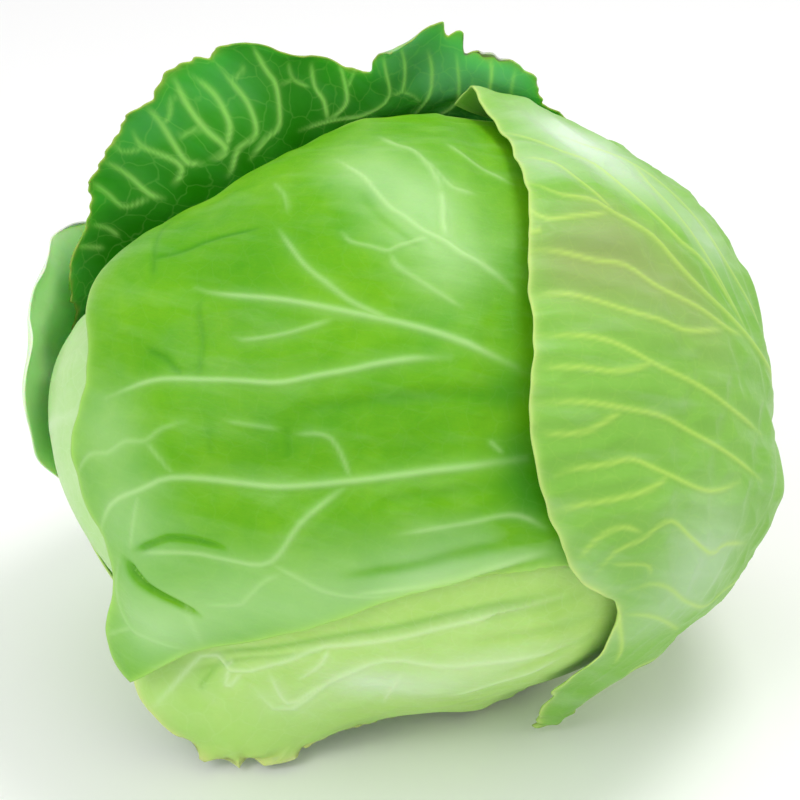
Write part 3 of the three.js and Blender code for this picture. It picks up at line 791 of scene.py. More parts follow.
def build_leaf(leaf, name, veins, material, seed, columns, rows,
               dense_across=(0.0, 1.0), dense_along=(0.0, 1.0), density=1.5, ragged=(0.0, 0.0),
               teeth=0.0, tooth_spacing=4.0, frill=0.0, blister=0.4, blister_width=7.0,
               sway=0.5, sway_length=60.0, curl=0.0, tones=(), rim_tint_width=1.5,
               inner_veins=None, inner_step=3):
    """Makes a leaf's blade: a fine outer face, an inner face of the same or wider steps, and a rim.

    The rim is uneven in wide and narrow waves (ragged) and in teeth, and torn sideways by the
    frill where it lies on the table. The blade swells between its veins (blister), sways in slow
    waves, and curls near its rim. Lengths are in mm, or in degrees on the leaf's map."""
    across_lines = line_places(columns, dense_across, density)
    along_lines = line_places(rows, dense_along, density)
    v, u = (lines.ravel() for lines in np.meshgrid(along_lines, across_lines, indexing="ij"))
    flat = leaf.patch(u, v)
    distance = np.abs(rim_distance(flat, leaf.outline))
    outward = unit(flat - flat.mean(axis=0))
    angles = np.arctan2(outward[:, 0], outward[:, 1])
    uneven = rim_noise(angles, seed, *ragged) * np.exp(-distance / RIM_UNEVEN_DEPTH)
    uneven += teeth * rim_teeth(flat, seed, tooth_spacing) * np.exp(-distance / TOOTH_DEPTH)
    flat = flat + outward * (uneven * smooth(v / FOOT_WITHOUT_TEETH))[:, None]

    directions = leaf.to_direction(flat)
    free = free_of_cover(directions, leaf.order)
    base = (heart_radius(directions) + height_inside(directions, leaf.order)
            + leaf.own_lift(flat, distance))
    surface = directions * base[:, None]
    spacing = mesh_spacing(surface.reshape(rows, columns, 3))
    relief, colour, nearest, shade = veins.fields(surface, spacing)
    swell = blister * smooth(nearest / blister_width)
    swell += sway * slow_waves(surface, seed, sway_length)
    swell += curl * slow_waves(surface, seed + 1, RIM_CURL_LENGTH) * np.exp(-distance / RIM_CURL_DEPTH)
    base = base + free * swell * smooth(v / FOOT_WITHOUT_SWELL)
    thickness = np.interp(distance, (0, THIN_RIM_FADE, RIM_FADE),
                          (THIN_RIM, RIM_THICKNESS, BLADE_THICKNESS))
    relief = relief * (1 - HIDDEN_RELIEF_LOSS * (1 - free))
    outer = CENTRE + directions * (base + thickness + relief)[:, None]
    inner = CENTRE + directions * base[:, None]
    inner_colour = colour
    if inner_veins:
        inner_relief, inner_colour, _, _ = inner_veins.fields(surface, spacing)
        inner = CENTRE + directions * (base - free * inner_relief)[:, None]
    outer[:, 2] = np.maximum(outer[:, 2], 0.0)
    inner[:, 2] = np.maximum(inner[:, 2], THIN_RIM)
    near_table = np.exp(-distance / FRILL_DEPTH) * smooth((FRILL_HEIGHT - outer[:, 2]) / FRILL_HEIGHT)
    for axis in (0, 1):
        shift = frill * near_table * rim_teeth(flat, seed + axis, tooth_spacing)
        outer[:, axis] += shift
        inner[:, axis] += shift

    # Painted light and shade, with some of the leaf's own tone: painted shade along the creases, then spots
    # that are paler or darker.
    painted_light_and_tone = -shade
    for across, along, reach, amount in tones:
        away = (flat[:, 0] - across) ** 2 + (flat[:, 1] - along) ** 2
        painted_light_and_tone += amount * np.exp(-away / reach ** 2)
    rim = np.exp(-distance / rim_tint_width)
    plane = np.column_stack((flat * MM_PER_DEGREE, np.zeros(len(flat))))
    points = np.concatenate((outer, inner))
    faces, used = blade_faces(rows, columns, inner_step)
    piece = new_piece(name, points[used], faces, material, leaf.node)
    for value_name, kind, field, values in (
            ("vein", "FLOAT", "value", (colour, inner_colour)), ("painted_light_and_tone", "FLOAT", "value", (painted_light_and_tone, painted_light_and_tone)),
            ("rim", "FLOAT", "value", (rim, rim)), ("plane", "FLOAT_VECTOR", "vector", (plane, plane))):
        layer = piece.data.attributes.new(value_name, kind, "POINT")
        layer.data.foreach_set(field, np.concatenate(values)[used].ravel())


def blade_faces(rows, columns, inner_step):
    """Faces of a blade's two grids and its rim, and which points of the grids they use."""
    count = rows * columns
    grid = np.arange(count).reshape(rows, columns)
    outer_faces = np.stack((grid[:-1, :-1], grid[:-1, 1:], grid[1:, 1:], grid[1:, :-1]), axis=-1)
    other_faces = inner_faces(rows, columns, inner_step, count)
    border = np.concatenate((grid[0, :], grid[1:, -1], grid[-1, -2::-1], grid[-2:0:-1, 0])).tolist()
    for a, b in zip(border, border[1:] + border[:1]):
        other_faces.append((b, a, a + count, b + count))
    used = np.zeros(2 * count, bool)
    used[:count] = True
    used[np.concatenate([np.array(face) for face in other_faces])] = True
    renumber = np.cumsum(used) - 1
    faces = outer_faces.reshape(-1, 4).tolist()
    faces += [tuple(renumber[list(face)].tolist()) for face in other_faces]
    return faces, used


def inner_faces(rows, columns, step, shift):
    """Faces of the inner grid, joined step by step, with the rim's own points kept."""
    row_stops = sorted({*range(0, rows - 1, step), rows - 1})
    column_stops = sorted({*range(0, columns - 1, step), columns - 1})
    faces = []
    for top, bottom in zip(row_stops, row_stops[1:]):
        for left, right in zip(column_stops, column_stops[1:]):
            loop = []
            loop += [(top, c) for c in (range(left, right) if top == 0 else (left,))]
            loop += [(r, right) for r in (range(top, bottom) if right == columns - 1 else (top,))]
            loop += [(bottom, c) for c in (range(right, left, -1) if bottom == rows - 1 else (right,))]
            loop += [(r, left) for r in (range(bottom, top, -1) if left == 0 else (bottom,))]
            faces.append(tuple(shift + r * columns + c for r, c in reversed(loop)))
    return faces


def leaf_net_group():
    """Fine net of small veins: pale lines round slightly raised cells."""
    group = bpy.data.node_groups.new("leaf_net", "ShaderNodeTree")
    group.interface.new_socket("Plane", in_out="INPUT", socket_type="NodeSocketVector")
    group.interface.new_socket("Cells per mm", in_out="INPUT", socket_type="NodeSocketFloat")
    group.interface.new_socket("Line Width", in_out="INPUT", socket_type="NodeSocketFloat")
    group.interface.new_socket("Line", in_out="OUTPUT", socket_type="NodeSocketFloat")
    group.interface.new_socket("Cell Height", in_out="OUTPUT", socket_type="NodeSocketFloat")
    nodes, links = group.nodes, group.links
    start = nodes.new("NodeGroupInput")
    end = nodes.new("NodeGroupOutput")
    drift = new_node(nodes, links, "TexNoise", {
        "Vector": start.outputs["Plane"], "Scale": 0.09, "Detail": 3.0})
    pull = new_node(nodes, links, "VectorMath", {
        0: drift.outputs["Color"], 1: (9.0, 9.0, 0.0), 2: start.outputs["Plane"]})
    pull.operation = "MULTIPLY_ADD"
    cells = nodes.new("ShaderNodeTexVoronoi")
    cells.voronoi_dimensions = "2D"
    cells.feature = "DISTANCE_TO_EDGE"
    links.new(pull.outputs["Vector"], cells.inputs["Vector"])
    links.new(start.outputs["Cells per mm"], cells.inputs["Scale"])
    line = new_node(nodes, links, "MapRange", {
        "Value": cells.outputs["Distance"], "From Max": start.outputs["Line Width"],
        "To Min": 1.0, "To Max": 0.0})
    swell = new_node(nodes, links, "MapRange", {"Value": cells.outputs["Distance"], "From Max": 0.3})
    line.interpolation_type = "SMOOTHSTEP"
    swell.interpolation_type = "SMOOTHSTEP"
    links.new(line.outputs["Result"], end.inputs["Line"])
    links.new(swell.outputs["Result"], end.inputs["Cell Height"])
    return group


def mix_colours(nodes, links, factor, first, second):
    """Mixes two colour sockets by a factor socket."""
    mix = nodes.new("ShaderNodeMix")
    mix.data_type = "RGBA"
    links.new(factor, mix.inputs[0])
    links.new(first, mix.inputs[6])
    links.new(second, mix.inputs[7])
    return mix.outputs[2]


def scaled(nodes, links, socket, factor, extra=0.0):
    """Value of a socket, times a factor and plus an extra, kept between 0 and 1."""
    node = new_node(nodes, links, "Math", {0: socket, 1: factor, 2: extra})
    node.operation = "MULTIPLY_ADD"
    node.use_clamp = True
    return node.outputs["Value"]


def leaf_skin_group():
    """Skin of a leaf: drifting greens, patches of painted light and shade mixed with some of the leaf's own
    paler and darker tone, veins, fine net and rim.
    """
    group = bpy.data.node_groups.new("leaf_skin", "ShaderNodeTree")
    group.interface.new_socket("Plane", in_out="INPUT", socket_type="NodeSocketVector")
    for name in ("Vein Mask", "Painted Light and Tone", "Rim Mask", "Cells per mm", "Net Strength", "Base Roughness"):
        group.interface.new_socket(name, in_out="INPUT", socket_type="NodeSocketFloat")
    for name in ("Fresh", "Deep", "Pale", "Shade", "Vein", "Rim"):
        group.interface.new_socket(name, in_out="INPUT", socket_type="NodeSocketColor")
    group.interface.new_socket("Color", in_out="OUTPUT", socket_type="NodeSocketColor")
    group.interface.new_socket("Roughness", in_out="OUTPUT", socket_type="NodeSocketFloat")
    group.interface.new_socket("Normal", in_out="OUTPUT", socket_type="NodeSocketVector")
    nodes, links = group.nodes, group.links
    start = nodes.new("NodeGroupInput")
    end = nodes.new("NodeGroupOutput")
    given = start.outputs

    drift = new_node(nodes, links, "TexNoise", {
        "Vector": given["Plane"], "Scale": 0.03, "Detail": 8.0, "Roughness": 0.66})
    greens = mix_colours(nodes, links, scaled(nodes, links, drift.outputs["Fac"], 2.2, -0.6),
                         given["Fresh"], given["Deep"])

    stretched = new_node(nodes, links, "Mapping", {
        "Vector": given["Plane"], "Rotation": (0.0, 0.0, 0.2), "Scale": (1.5, 0.35, 1.0)})
    streaks = new_node(nodes, links, "TexNoise", {
        "Vector": stretched.outputs["Vector"], "Scale": 0.1, "Detail": 4.0})
    soft_tone = scaled(nodes, links, streaks.outputs["Fac"], 0.5, -0.25)
    streaked = mix_colours(nodes, links, soft_tone, greens, given["Pale"])

    # Painted light and shade: a positive value paints towards the pale colour, a negative one towards the
    # shade colour.
    paled = mix_colours(nodes, links, scaled(nodes, links, given["Painted Light and Tone"], 1.0), streaked, given["Pale"])
    shaded = mix_colours(nodes, links, scaled(nodes, links, given["Painted Light and Tone"], -1.0), paled, given["Shade"])
    net = nodes.new("ShaderNodeGroup")
    net.node_tree = leaf_net_group()
    net.inputs["Line Width"].default_value = 0.06
    links.new(given["Plane"], net.inputs["Plane"])
    links.new(given["Cells per mm"], net.inputs["Cells per mm"])
    net_part = scaled(nodes, links, net.outputs["Line"], given["Net Strength"])
    netted = mix_colours(nodes, links, net_part, shaded, given["Vein"])
    veined = mix_colours(nodes, links, scaled(nodes, links, given["Vein Mask"], 0.9), netted, given["Vein"])
    rimmed = mix_colours(nodes, links, scaled(nodes, links, given["Rim Mask"], 0.85), veined, given["Rim"])
    links.new(rimmed, end.inputs["Color"])

    grain = new_node(nodes, links, "TexNoise", {"Vector": given["Plane"], "Scale": 1.1, "Detail": 4.0})
    roughness = scaled(nodes, links, grain.outputs["Fac"], 0.2, given["Base Roughness"])
    links.new(roughness, end.inputs["Roughness"])
    cell_bump = new_node(nodes, links, "Bump", {
        "Strength": given["Net Strength"], "Distance": 0.0006, "Height": net.outputs["Cell Height"]})
    pleats = new_node(nodes, links, "Bump", {
        "Strength": 0.3, "Distance": 0.002, "Height": streaks.outputs["Fac"],
        "Normal": cell_bump.outputs["Normal"]})
    grain_bump = new_node(nodes, links, "Bump", {
        "Strength": 0.12, "Distance": 0.0003, "Height": grain.outputs["Fac"],
        "Normal": pleats.outputs["Normal"]})
    links.new(grain_bump.outputs["Normal"], end.inputs["Normal"])
    return group


leaf_skin = leaf_skin_group()


NET_CELLS_PER_MM = 0.16
LEAF_ROUGHNESS = 0.35
LEAF_GLOSS = 0.18
WAX_COAT = 0.04
WAX_ROUGHNESS = 0.25
LIGHT_SPREAD_M = 0.003
LIGHT_SPREAD_COLOURS = (0.35, 1.0, 0.12)


def leaf_material(name, fresh, deep, pale, shade, vein, rim, net=0.1, let_through=0.12):
    """A leaf's material: the skin in this leaf's colours, a thin wax coat and some light let through."""
    material, nodes, links = new_material(name)
    shader = nodes["Principled BSDF"]
    skin = nodes.new("ShaderNodeGroup")
    skin.node_tree = leaf_skin
    for key, source, output in (("Plane", "plane", "Vector"), ("Vein Mask", "vein", "Fac"),
                                ("Painted Light and Tone", "painted_light_and_tone", "Fac"), ("Rim Mask", "rim", "Fac")):
        attribute = nodes.new("ShaderNodeAttribute")
        attribute.attribute_name = source
        links.new(attribute.outputs[output], skin.inputs[key])
    for key, colour in (("Fresh", fresh), ("Deep", deep), ("Pale", pale), ("Shade", shade),
                        ("Vein", vein), ("Rim", rim)):
        skin.inputs[key].default_value = (*linear(colour), 1.0)
    for key, value in (("Cells per mm", NET_CELLS_PER_MM), ("Net Strength", net),
                       ("Base Roughness", LEAF_ROUGHNESS)):
        skin.inputs[key].default_value = value
    for key, output in (("Base Color", "Color"), ("Roughness", "Roughness"), ("Normal", "Normal")):
        links.new(skin.outputs[output], shader.inputs[key])
    for key, value in (("Specular IOR Level", LEAF_GLOSS), ("Coat Weight", WAX_COAT),
                       ("Coat Roughness", WAX_ROUGHNESS), ("Subsurface Weight", let_through),
                       ("Subsurface Radius", LIGHT_SPREAD_COLOURS), ("Subsurface Scale", LIGHT_SPREAD_M)):
        shader.inputs[key].default_value = value
    return material


def linear(hex_colour):
    """A colour written as on a paint chart, as the plain numbers that a material needs."""
    parts = [int(hex_colour[i:i + 2], 16) / 255 for i in (0, 2, 4)]
    return tuple(part / 12.92 if part < 0.04 else ((part + 0.055) / 1.055) ** 2.4 for part in parts)


def tones_seen(leaf, spots, far_side=False):
    """Turns spots seen in the picture (x, y, reach in degrees, amount) into spots of the leaf."""
    places = pixels_to_surface(leaf, [spot[:2] for spot in spots], far_side)
    return [(place[0], place[1], *spot[2:]) for place, spot in zip(places, spots)]


# The crown leaf: the innermost leaf that shows, closed over the end away from the stalk.
# It is pale, because the leaves outside it kept the light off.
crown_veins = Veins(crown_leaf)
crown_veins.grow(seed=3, pairs=7, midrib_width=4.0, side_width=2.2, midrib_height=0.9, side_height=0.6)
crown_material = leaf_material(
    "crown_leaf_blade", fresh="BCDE9C", deep="A6D480", pale="D6EAC8", shade="7CBA44",
    vein="D8ECC8", rim="DCEEB8", net=0.1)
build_leaf(crown_leaf, "crown_leaf_blade", crown_veins, crown_material,
           seed=11, columns=120, rows=130, sway=0.6, rim_tint_width=2.0)

# The top inner leaf: the leaf under the wrapper leaves at the top and the back of the head.
# Only the strips between the outer leaves show it.
top_inner_veins = Veins(top_inner_leaf)
top_inner_veins.grow(seed=5, pairs=7, midrib_width=4.0, side_width=2.2, midrib_height=0.9, side_height=0.6)
top_inner_material = leaf_material(
    "inner_leaf_blade", fresh="8CC458", deep="6DB02C", pale="BFE0A0", shade="3F9412",
    vein="C4E0A0", rim="BFDC86", net=0.15)
build_leaf(top_inner_leaf, "top_inner_leaf_blade", top_inner_veins, top_inner_material,
           seed=12, columns=110, rows=110, sway=0.6)

# The underside leaf: the leaf that the head lies on, pressed flat in the middle of its back.
# Thick ribs fan out over it from the stalk.
underside_veins = Veins(underside_leaf)
underside_veins.grow(seed=7, pairs=7, midrib_width=5.0, side_width=2.6, midrib_height=1.1, side_height=0.7)
underside_material = leaf_material(
    "underside_leaf_blade", fresh="A2CC66", deep="80B640", pale="CFE6B4", shade="559A20",
    vein="D6E8BC", rim="CBE094", net=0.15)
build_leaf(underside_leaf, "underside_leaf_blade", underside_veins, underside_material,
           seed=13, columns=120, rows=120, sway=0.5)

# The skirt leaf: a loose, torn wrapper leaf low on the front, whose rim trails on the table.
# It is a lighter yellow green, with ribs that run down into the ragged rim. Each vein is its
# pixels in the picture, its widths in mm at the two ends, and its height. A crease has a negative
# height, and a negative strength that paints a line of shade along it. A tone is a pixel, a reach
# in degrees and how much paler it is; a negative amount darkens it towards the shade colour.
SKIRT_VEINS = (
    (((170, 686), (181, 681), (245, 667), (316, 646), (351, 641), (423, 628), (500, 610), (559, 595)),
     (1.6, 2.4), 0.7),
    (((233, 722), (288, 707), (340, 674), (387, 655), (450, 662), (520, 652), (575, 640)), (1.6, 2.6), 0.7),
    (((401, 669), (384, 698)), (1.2, 0.8), 0.3),
    (((245, 667), (230, 682), (205, 693)), (1.2, 0.7), 0.3),
    (((330, 645), (322, 660), (300, 676)), (1.2, 0.7), 0.3),
    (((247, 712), (290, 700), (318, 684), (357, 667)), (1.4, 1.2), 0.4),
    (((450, 690), (500, 676), (560, 655)), (2.4, 1.6), 0.6),
)
SKIRT_CREASES = (
    (((200, 657), (247, 648), (318, 638), (385, 627), (442, 615), (504, 602), (559, 590)), (2.2, 3.0),
     -0.8, -0.5),
    (((195, 668), (260, 655), (330, 645)), (2.2, 1.6), -0.4, -0.3),
    (((470, 640), (540, 628), (600, 610)), (5.0, 4.0), -0.8, -0.22),
    (((480, 616), (540, 604), (590, 590)), (4.0, 3.0), -0.7, -0.2),
    (((500, 668), (560, 648), (600, 628)), (5.0, 4.0), -0.7, -0.15),
    (((197, 690), (203, 683), (212, 679)), (1.6, 1.0), -0.4, -0.3),
)
skirt_veins = Veins(skirt_leaf)
for pixels, widths, height in SKIRT_VEINS:
    skirt_veins.add_seen(pixels, widths, height, strength=0.8)
for pixels, widths, height, strength in SKIRT_CREASES:
    skirt_veins.add_seen(pixels, widths, height, strength)
skirt_veins.skip_seen_side = True
skirt_veins.grow(seed=9, pairs=7, midrib_width=4.0, side_width=2.2, midrib_height=0.9, side_height=0.5)
SKIRT_TONES = (
    (370, 680, 7, 0.9), (300, 700, 7, 0.3), (430, 680, 8, 0.6), (500, 660, 8, 0.3),
    (190, 665, 6, -0.25), (190, 735, 5, -0.2),
)
skirt_material = leaf_material(
    "skirt_leaf_blade", fresh="B8DE80", deep="A4D060", pale="CDE8B8", shade="62A81E",
    vein="D8EEC0", rim="D8E88C", net=0.06, let_through=0.3)
build_leaf(skirt_leaf, "skirt_leaf_blade", skirt_veins, skirt_material,
           seed=14, columns=230, rows=270, dense_across=(0.0, 0.5), dense_along=(0.4, 1.0), density=2.5,
           ragged=(0.4, 0.7), teeth=0.8, tooth_spacing=5.5, frill=2.6, sway=1.0, sway_length=40.0, curl=2.0,
           tones=tones_seen(skirt_leaf, SKIRT_TONES))

# The front leaf: the large lime-green wrapper leaf over the front and the left of the head.
# Long pleats run over its lower right, and its lower left corner is folded over itself.
FRONT_VEINS = (
    (((515, 367), (475, 349), (439, 335), (400, 324), (357, 315), (286, 302), (222, 296), (199, 290)),
     (2.8, 1.2), 0.7),
    (((400, 324), (357, 306), (332, 288), (309, 270), (293, 250), (280, 231)), (2.0, 1.2), 0.5),
    (((290, 215), (287, 200), (275, 185)), (1.2, 0.8), 0.35),
    (((450, 359), (417, 359), (379, 364), (357, 369), (319, 376), (281, 383), (242, 381), (212, 380),
      (158, 381), (110, 398)), (2.6, 1.0), 0.7),
    (((334, 321), (293, 334), (250, 341), (237, 338)), (1.8, 0.9), 0.45),
    (((191, 421), (166, 429), (151, 440), (130, 441), (112, 452), (94, 454), (79, 473)), (1.4, 1.4), 0.4),
    (((151, 440), (166, 459), (179, 474)), (1.3, 0.8), 0.35),
    (((524, 458), (493, 462), (444, 468), (400, 474), (352, 480), (286, 485), (242, 481), (179, 476),
      (148, 487), (115, 503), (99, 538)), (3.0, 1.2), 0.8),
    (((143, 492), (138, 518), (134, 546)), (1.4, 1.0), 0.4),
    (((352, 480), (332, 438), (298, 434)), (1.6, 0.9), 0.4),
    (((230, 421), (283, 429)), (1.2, 0.9), 0.35),
    (((352, 482), (306, 518), (273, 559), (230, 557), (199, 551), (166, 550), (138, 551)), (2.2, 1.2), 0.6),
    (((273, 559), (301, 574), (332, 589), (370, 594), (400, 592)), (1.6, 1.4), 0.45),
    (((283, 570), (265, 580), (250, 595), (240, 603), (205, 604)), (1.3, 0.8), 0.35),
    (((185, 600), (192, 615), (200, 632), (205, 643)), (1.4, 0.8), 0.4),
    (((122, 560), (120, 590), (123, 605), (135, 625), (155, 635), (175, 643), (195, 648)), (1.4, 1.2), 0.4),
    (((113, 632), (122, 628), (135, 625)), (1.0, 1.2), 0.3),
    (((155, 664), (170, 660), (190, 648)), (1.0, 1.2), 0.3),
    (((512, 292), (500, 280), (480, 266), (460, 256), (445, 245), (432, 239), (420, 233), (405, 222),
      (390, 212), (375, 195), (365, 183), (350, 172), (338, 163)), (2.6, 1.2), 0.8),
    (((445, 240), (442, 225), (442, 210), (440, 196)), (3.0, 2.0), 0.8),
    (((440, 196), (437, 187), (430, 175), (420, 163), (410, 155), (395, 149), (380, 140)), (2.2, 1.2), 0.6),
    (((475, 197), (462, 195), (448, 190), (425, 165)), (1.6, 1.0), 0.45),
    (((510, 186), (495, 178), (480, 171), (460, 160), (445, 150)), (1.8, 1.2), 0.5),
    (((430, 240), (400, 249), (388, 254), (372, 250), (352, 245), (343, 235)), (1.8, 1.0), 0.5),
    (((390, 254), (394, 265), (400, 271), (428, 288), (462, 310)), (1.6, 1.0), 0.45),
    (((544, 527), (520, 515), (493, 515), (462, 522), (399, 533)), (2.0, 1.0), 0.5),
    (((488, 440), (502, 453)), (1.4, 1.0), 0.4),
    (((544, 551), (495, 565), (450, 580), (350, 592)), (3.6, 1.6), 0.7),
)
# Grooves and wrinkles of the front leaf, each with painted shade along it.
FRONT_CREASES = (
    (((128, 560), (145, 578), (162, 592), (182, 603), (202, 614)), (4.0, 1.6), -2.2, -1.0),
    (((138, 549), (168, 537), (185, 536), (205, 539), (227, 546)), (2.2, 1.0), -0.8, -0.6),
    (((155, 262), (185, 255), (215, 243), (262, 230)), (1.8, 1.2), -0.4, -0.5),
    (((158, 280), (160, 250), (175, 225)), (1.8, 1.2), -0.3, -0.4),
    (((150, 350), (170, 360), (186, 378)), (1.6, 1.2), -0.3, -0.45),
    (((203, 300), (206, 345), (200, 385)), (2.0, 1.4), -0.3, -0.3),
    (((214, 425), (216, 455)), (1.6, 1.2), -0.2, -0.2),
    (((288, 425), (291, 458)), (1.8, 1.2), -0.2, -0.2),
    (((545, 535), (480, 548), (400, 566), (345, 572)), (6.0, 3.0), -0.9, -0.35),
    (((548, 560), (495, 573), (442, 592), (385, 606)), (3.0, 2.0), -0.7, -0.4),
    (((515, 400), (450, 395), (380, 400), (300, 410)), (7.0, 4.0), -0.7, -0.3),
    (((520, 480), (440, 492), (380, 500)), (6.0, 3.0), -0.6, -0.25),
    (((360, 195), (385, 225), (420, 250)), (4.0, 2.0), -0.5, -0.15),
)
FULL_RIB_WIDTH = 2.6
front_veins = Veins(front_leaf, core=0.45, glow=0.12, narrowing=0.8)
for pixels, widths, height in FRONT_VEINS:
    front_veins.add_seen(pixels, widths, height, strength=min(1.0, max(widths) / FULL_RIB_WIDTH))
for pixels, widths, height, strength in FRONT_CREASES:
    front_veins.add_seen(pixels, widths, height, strength)
front_veins.skip_seen_side = True
front_veins.grow(seed=21, pairs=8, midrib_width=4.5, side_width=2.4, midrib_height=1.0, side_height=0.6)
front_material = leaf_material(
    "front_leaf_blade", fresh="76B60C", deep="4A9A00", pale="B0DA96", shade="348600",
    vein="BEE49C", rim="A8D860", net=0.02)
# Spots of painted light and shade, with some of the leaf's own tone: a painted highlight high on the right,
# painted light from the pale floor over the lower part, painted shadow along the right leaf's standing rim,
# and three broad faint darker patches. The pale colour is that of the highlight and the floor light.
FRONT_PAINTED_LIGHT_AND_TONES = (
    (420, 210, 9, 0.6), (370, 175, 9, 0.45), (450, 265, 7, 0.4), (160, 625, 10, 0.7), (130, 520, 9, 0.45),
    (110, 430, 8, 0.4), (330, 600, 10, 0.45), (430, 590, 9, 0.75), (510, 565, 8, 0.45), (240, 600, 10, 0.4),
    (516, 450, 4, -0.7), (530, 500, 5, -0.9), (508, 390, 4, -0.6), (512, 330, 3, -0.3),
    (250, 250, 14, -0.3), (270, 430, 12, -0.25), (420, 430, 10, -0.2),
)
build_leaf(front_leaf, "front_leaf_blade", front_veins, front_material,
           seed=15, columns=280, rows=300, dense_across=(0.0, 0.8), dense_along=(0.2, 1.0), density=2.2,
           ragged=(0.25, 0.12), blister=0.7, blister_width=9.0, sway=1.2, sway_length=55.0, curl=0.6,
           tones=tones_seen(front_leaf, FRONT_PAINTED_LIGHT_AND_TONES))

# The right leaf: the paler wrapper leaf over the right and the top, with its ribs in plain view.
# Its far rim stands off the front leaf, and its tail is folded down to the table.
RIGHT_VEINS = (
    (((558, 138), (584, 148), (612, 159), (645, 179), (668, 197), (693, 220), (716, 253), (739, 294),
      (765, 342)), (1.4, 2.6), 0.6),
    (((489, 133), (528, 142), (563, 155), (589, 165), (617, 189), (645, 215), (673, 243), (693, 258),
      (711, 279), (742, 332)), (1.2, 2.6), 0.6),
    (((627, 166), (645, 189), (668, 212), (693, 243), (706, 263), (742, 332)), (1.2, 2.0), 0.5),
    (((525, 159), (553, 166), (579, 187), (609, 215)), (1.2, 1.8), 0.5),
    (((515, 182), (533, 187), (558, 199), (589, 205), (609, 217), (645, 238), (668, 263), (693, 289),
      (721, 314), (742, 337), (757, 360), (767, 383), (774, 411)), (1.8, 4.2), 1.2),
    (((520, 205), (543, 221), (573, 220), (604, 217)), (1.2, 1.8), 0.5),
    (((520, 228), (533, 233), (540, 230)), (1.2, 1.2), 0.4),
    (((525, 251), (553, 253), (589, 263), (622, 268), (655, 289), (693, 309), (724, 330), (742, 337)),
     (1.2, 2.8), 0.7),
    (((528, 299), (558, 295), (589, 302), (624, 313), (655, 321), (683, 332), (721, 330)), (1.2, 2.4), 0.6),
    (((533, 337), (579, 337), (612, 345), (650, 365), (688, 383), (727, 409), (757, 434)), (1.2, 2.4), 0.6),
    (((543, 368), (579, 368), (612, 372), (650, 364)), (1.2, 1.6), 0.45),
    (((538, 404), (579, 402), (624, 409), (658, 416), (688, 432), (727, 455), (757, 480)), (1.2, 2.4), 0.6),
    (((540, 434), (579, 432), (602, 421), (619, 410)), (1.0, 1.6), 0.4),
    (((553, 476), (566, 469), (599, 464), (627, 458), (655, 469), (704, 490), (737, 481)), (1.2, 2.0), 0.5),
    (((553, 512), (573, 505), (617, 496), (645, 488), (668, 474)), (1.0, 1.8), 0.45),
    (((579, 557), (594, 537), (617, 525), (637, 530)), (1.0, 1.6), 0.4),
    (((594, 572), (612, 549), (637, 537), (655, 524), (670, 520), (688, 537), (706, 551), (721, 542),
      (742, 542)), (1.2, 1.8), 0.5),
    (((624, 589), (645, 581), (663, 584), (681, 598), (701, 603), (721, 588), (739, 572)), (1.0, 1.6), 0.4),
    (((622, 612), (650, 613), (673, 626)), (1.2, 1.4), 0.4),
    (((609, 562), (642, 562), (646, 572)), (0.8, 1.0), 0.3),
    (((613, 602), (617, 625), (618, 645), (613, 660)), (2.2, 1.4), 0.6),
)
right_veins = Veins(right_leaf, core=0.55, glow=0.05, narrowing=0.6)
for pixels, widths, height in RIGHT_VEINS:
    right_veins.add_seen(pixels, widths, height)
right_veins.skip_seen_side = True
right_veins.grow(seed=23, pairs=8, midrib_width=4.5, side_width=2.6, midrib_height=1.1, side_height=0.6)
right_material = leaf_material(
    "right_leaf_blade", fresh="88BE50", deep="76B23E", pale="DCEEDA", shade="98A468",
    vein="C4E468", rim="C8E080", net=0.05)
# Spots of painted light, with some of the leaf's own tone: a painted highlight along the top, painted light
# from the pale floor low on the right, and negative spots that turn the upper middle a greyer olive.
RIGHT_TONES_AND_PAINTED_LIGHT = (
    (570, 140, 9, 0.75), (545, 170, 7, 0.35), (620, 180, 9, 0.4), (700, 240, 8, 0.3), (560, 600, 7, 0.3),
    (700, 560, 9, 0.4), (640, 620, 8, 0.15), (560, 265, 7, -0.5), (610, 265, 9, -0.5), (665, 280, 9, -0.4),
    (600, 215, 8, -0.3), (700, 320, 8, -0.25),
)
build_leaf(right_leaf, "right_leaf_blade", right_veins, right_material,
           seed=16, columns=270, rows=290, dense_across=(0.0, 0.85), dense_along=(0.1, 1.0), density=2.0,
           ragged=(0.1, 0.05), tooth_spacing=5.0, frill=2.4, blister=1.3, sway_length=50.0, sway=1.0,
           curl=0.5, tones=tones_seen(right_leaf, RIGHT_TONES_AND_PAINTED_LIGHT), rim_tint_width=0.8)

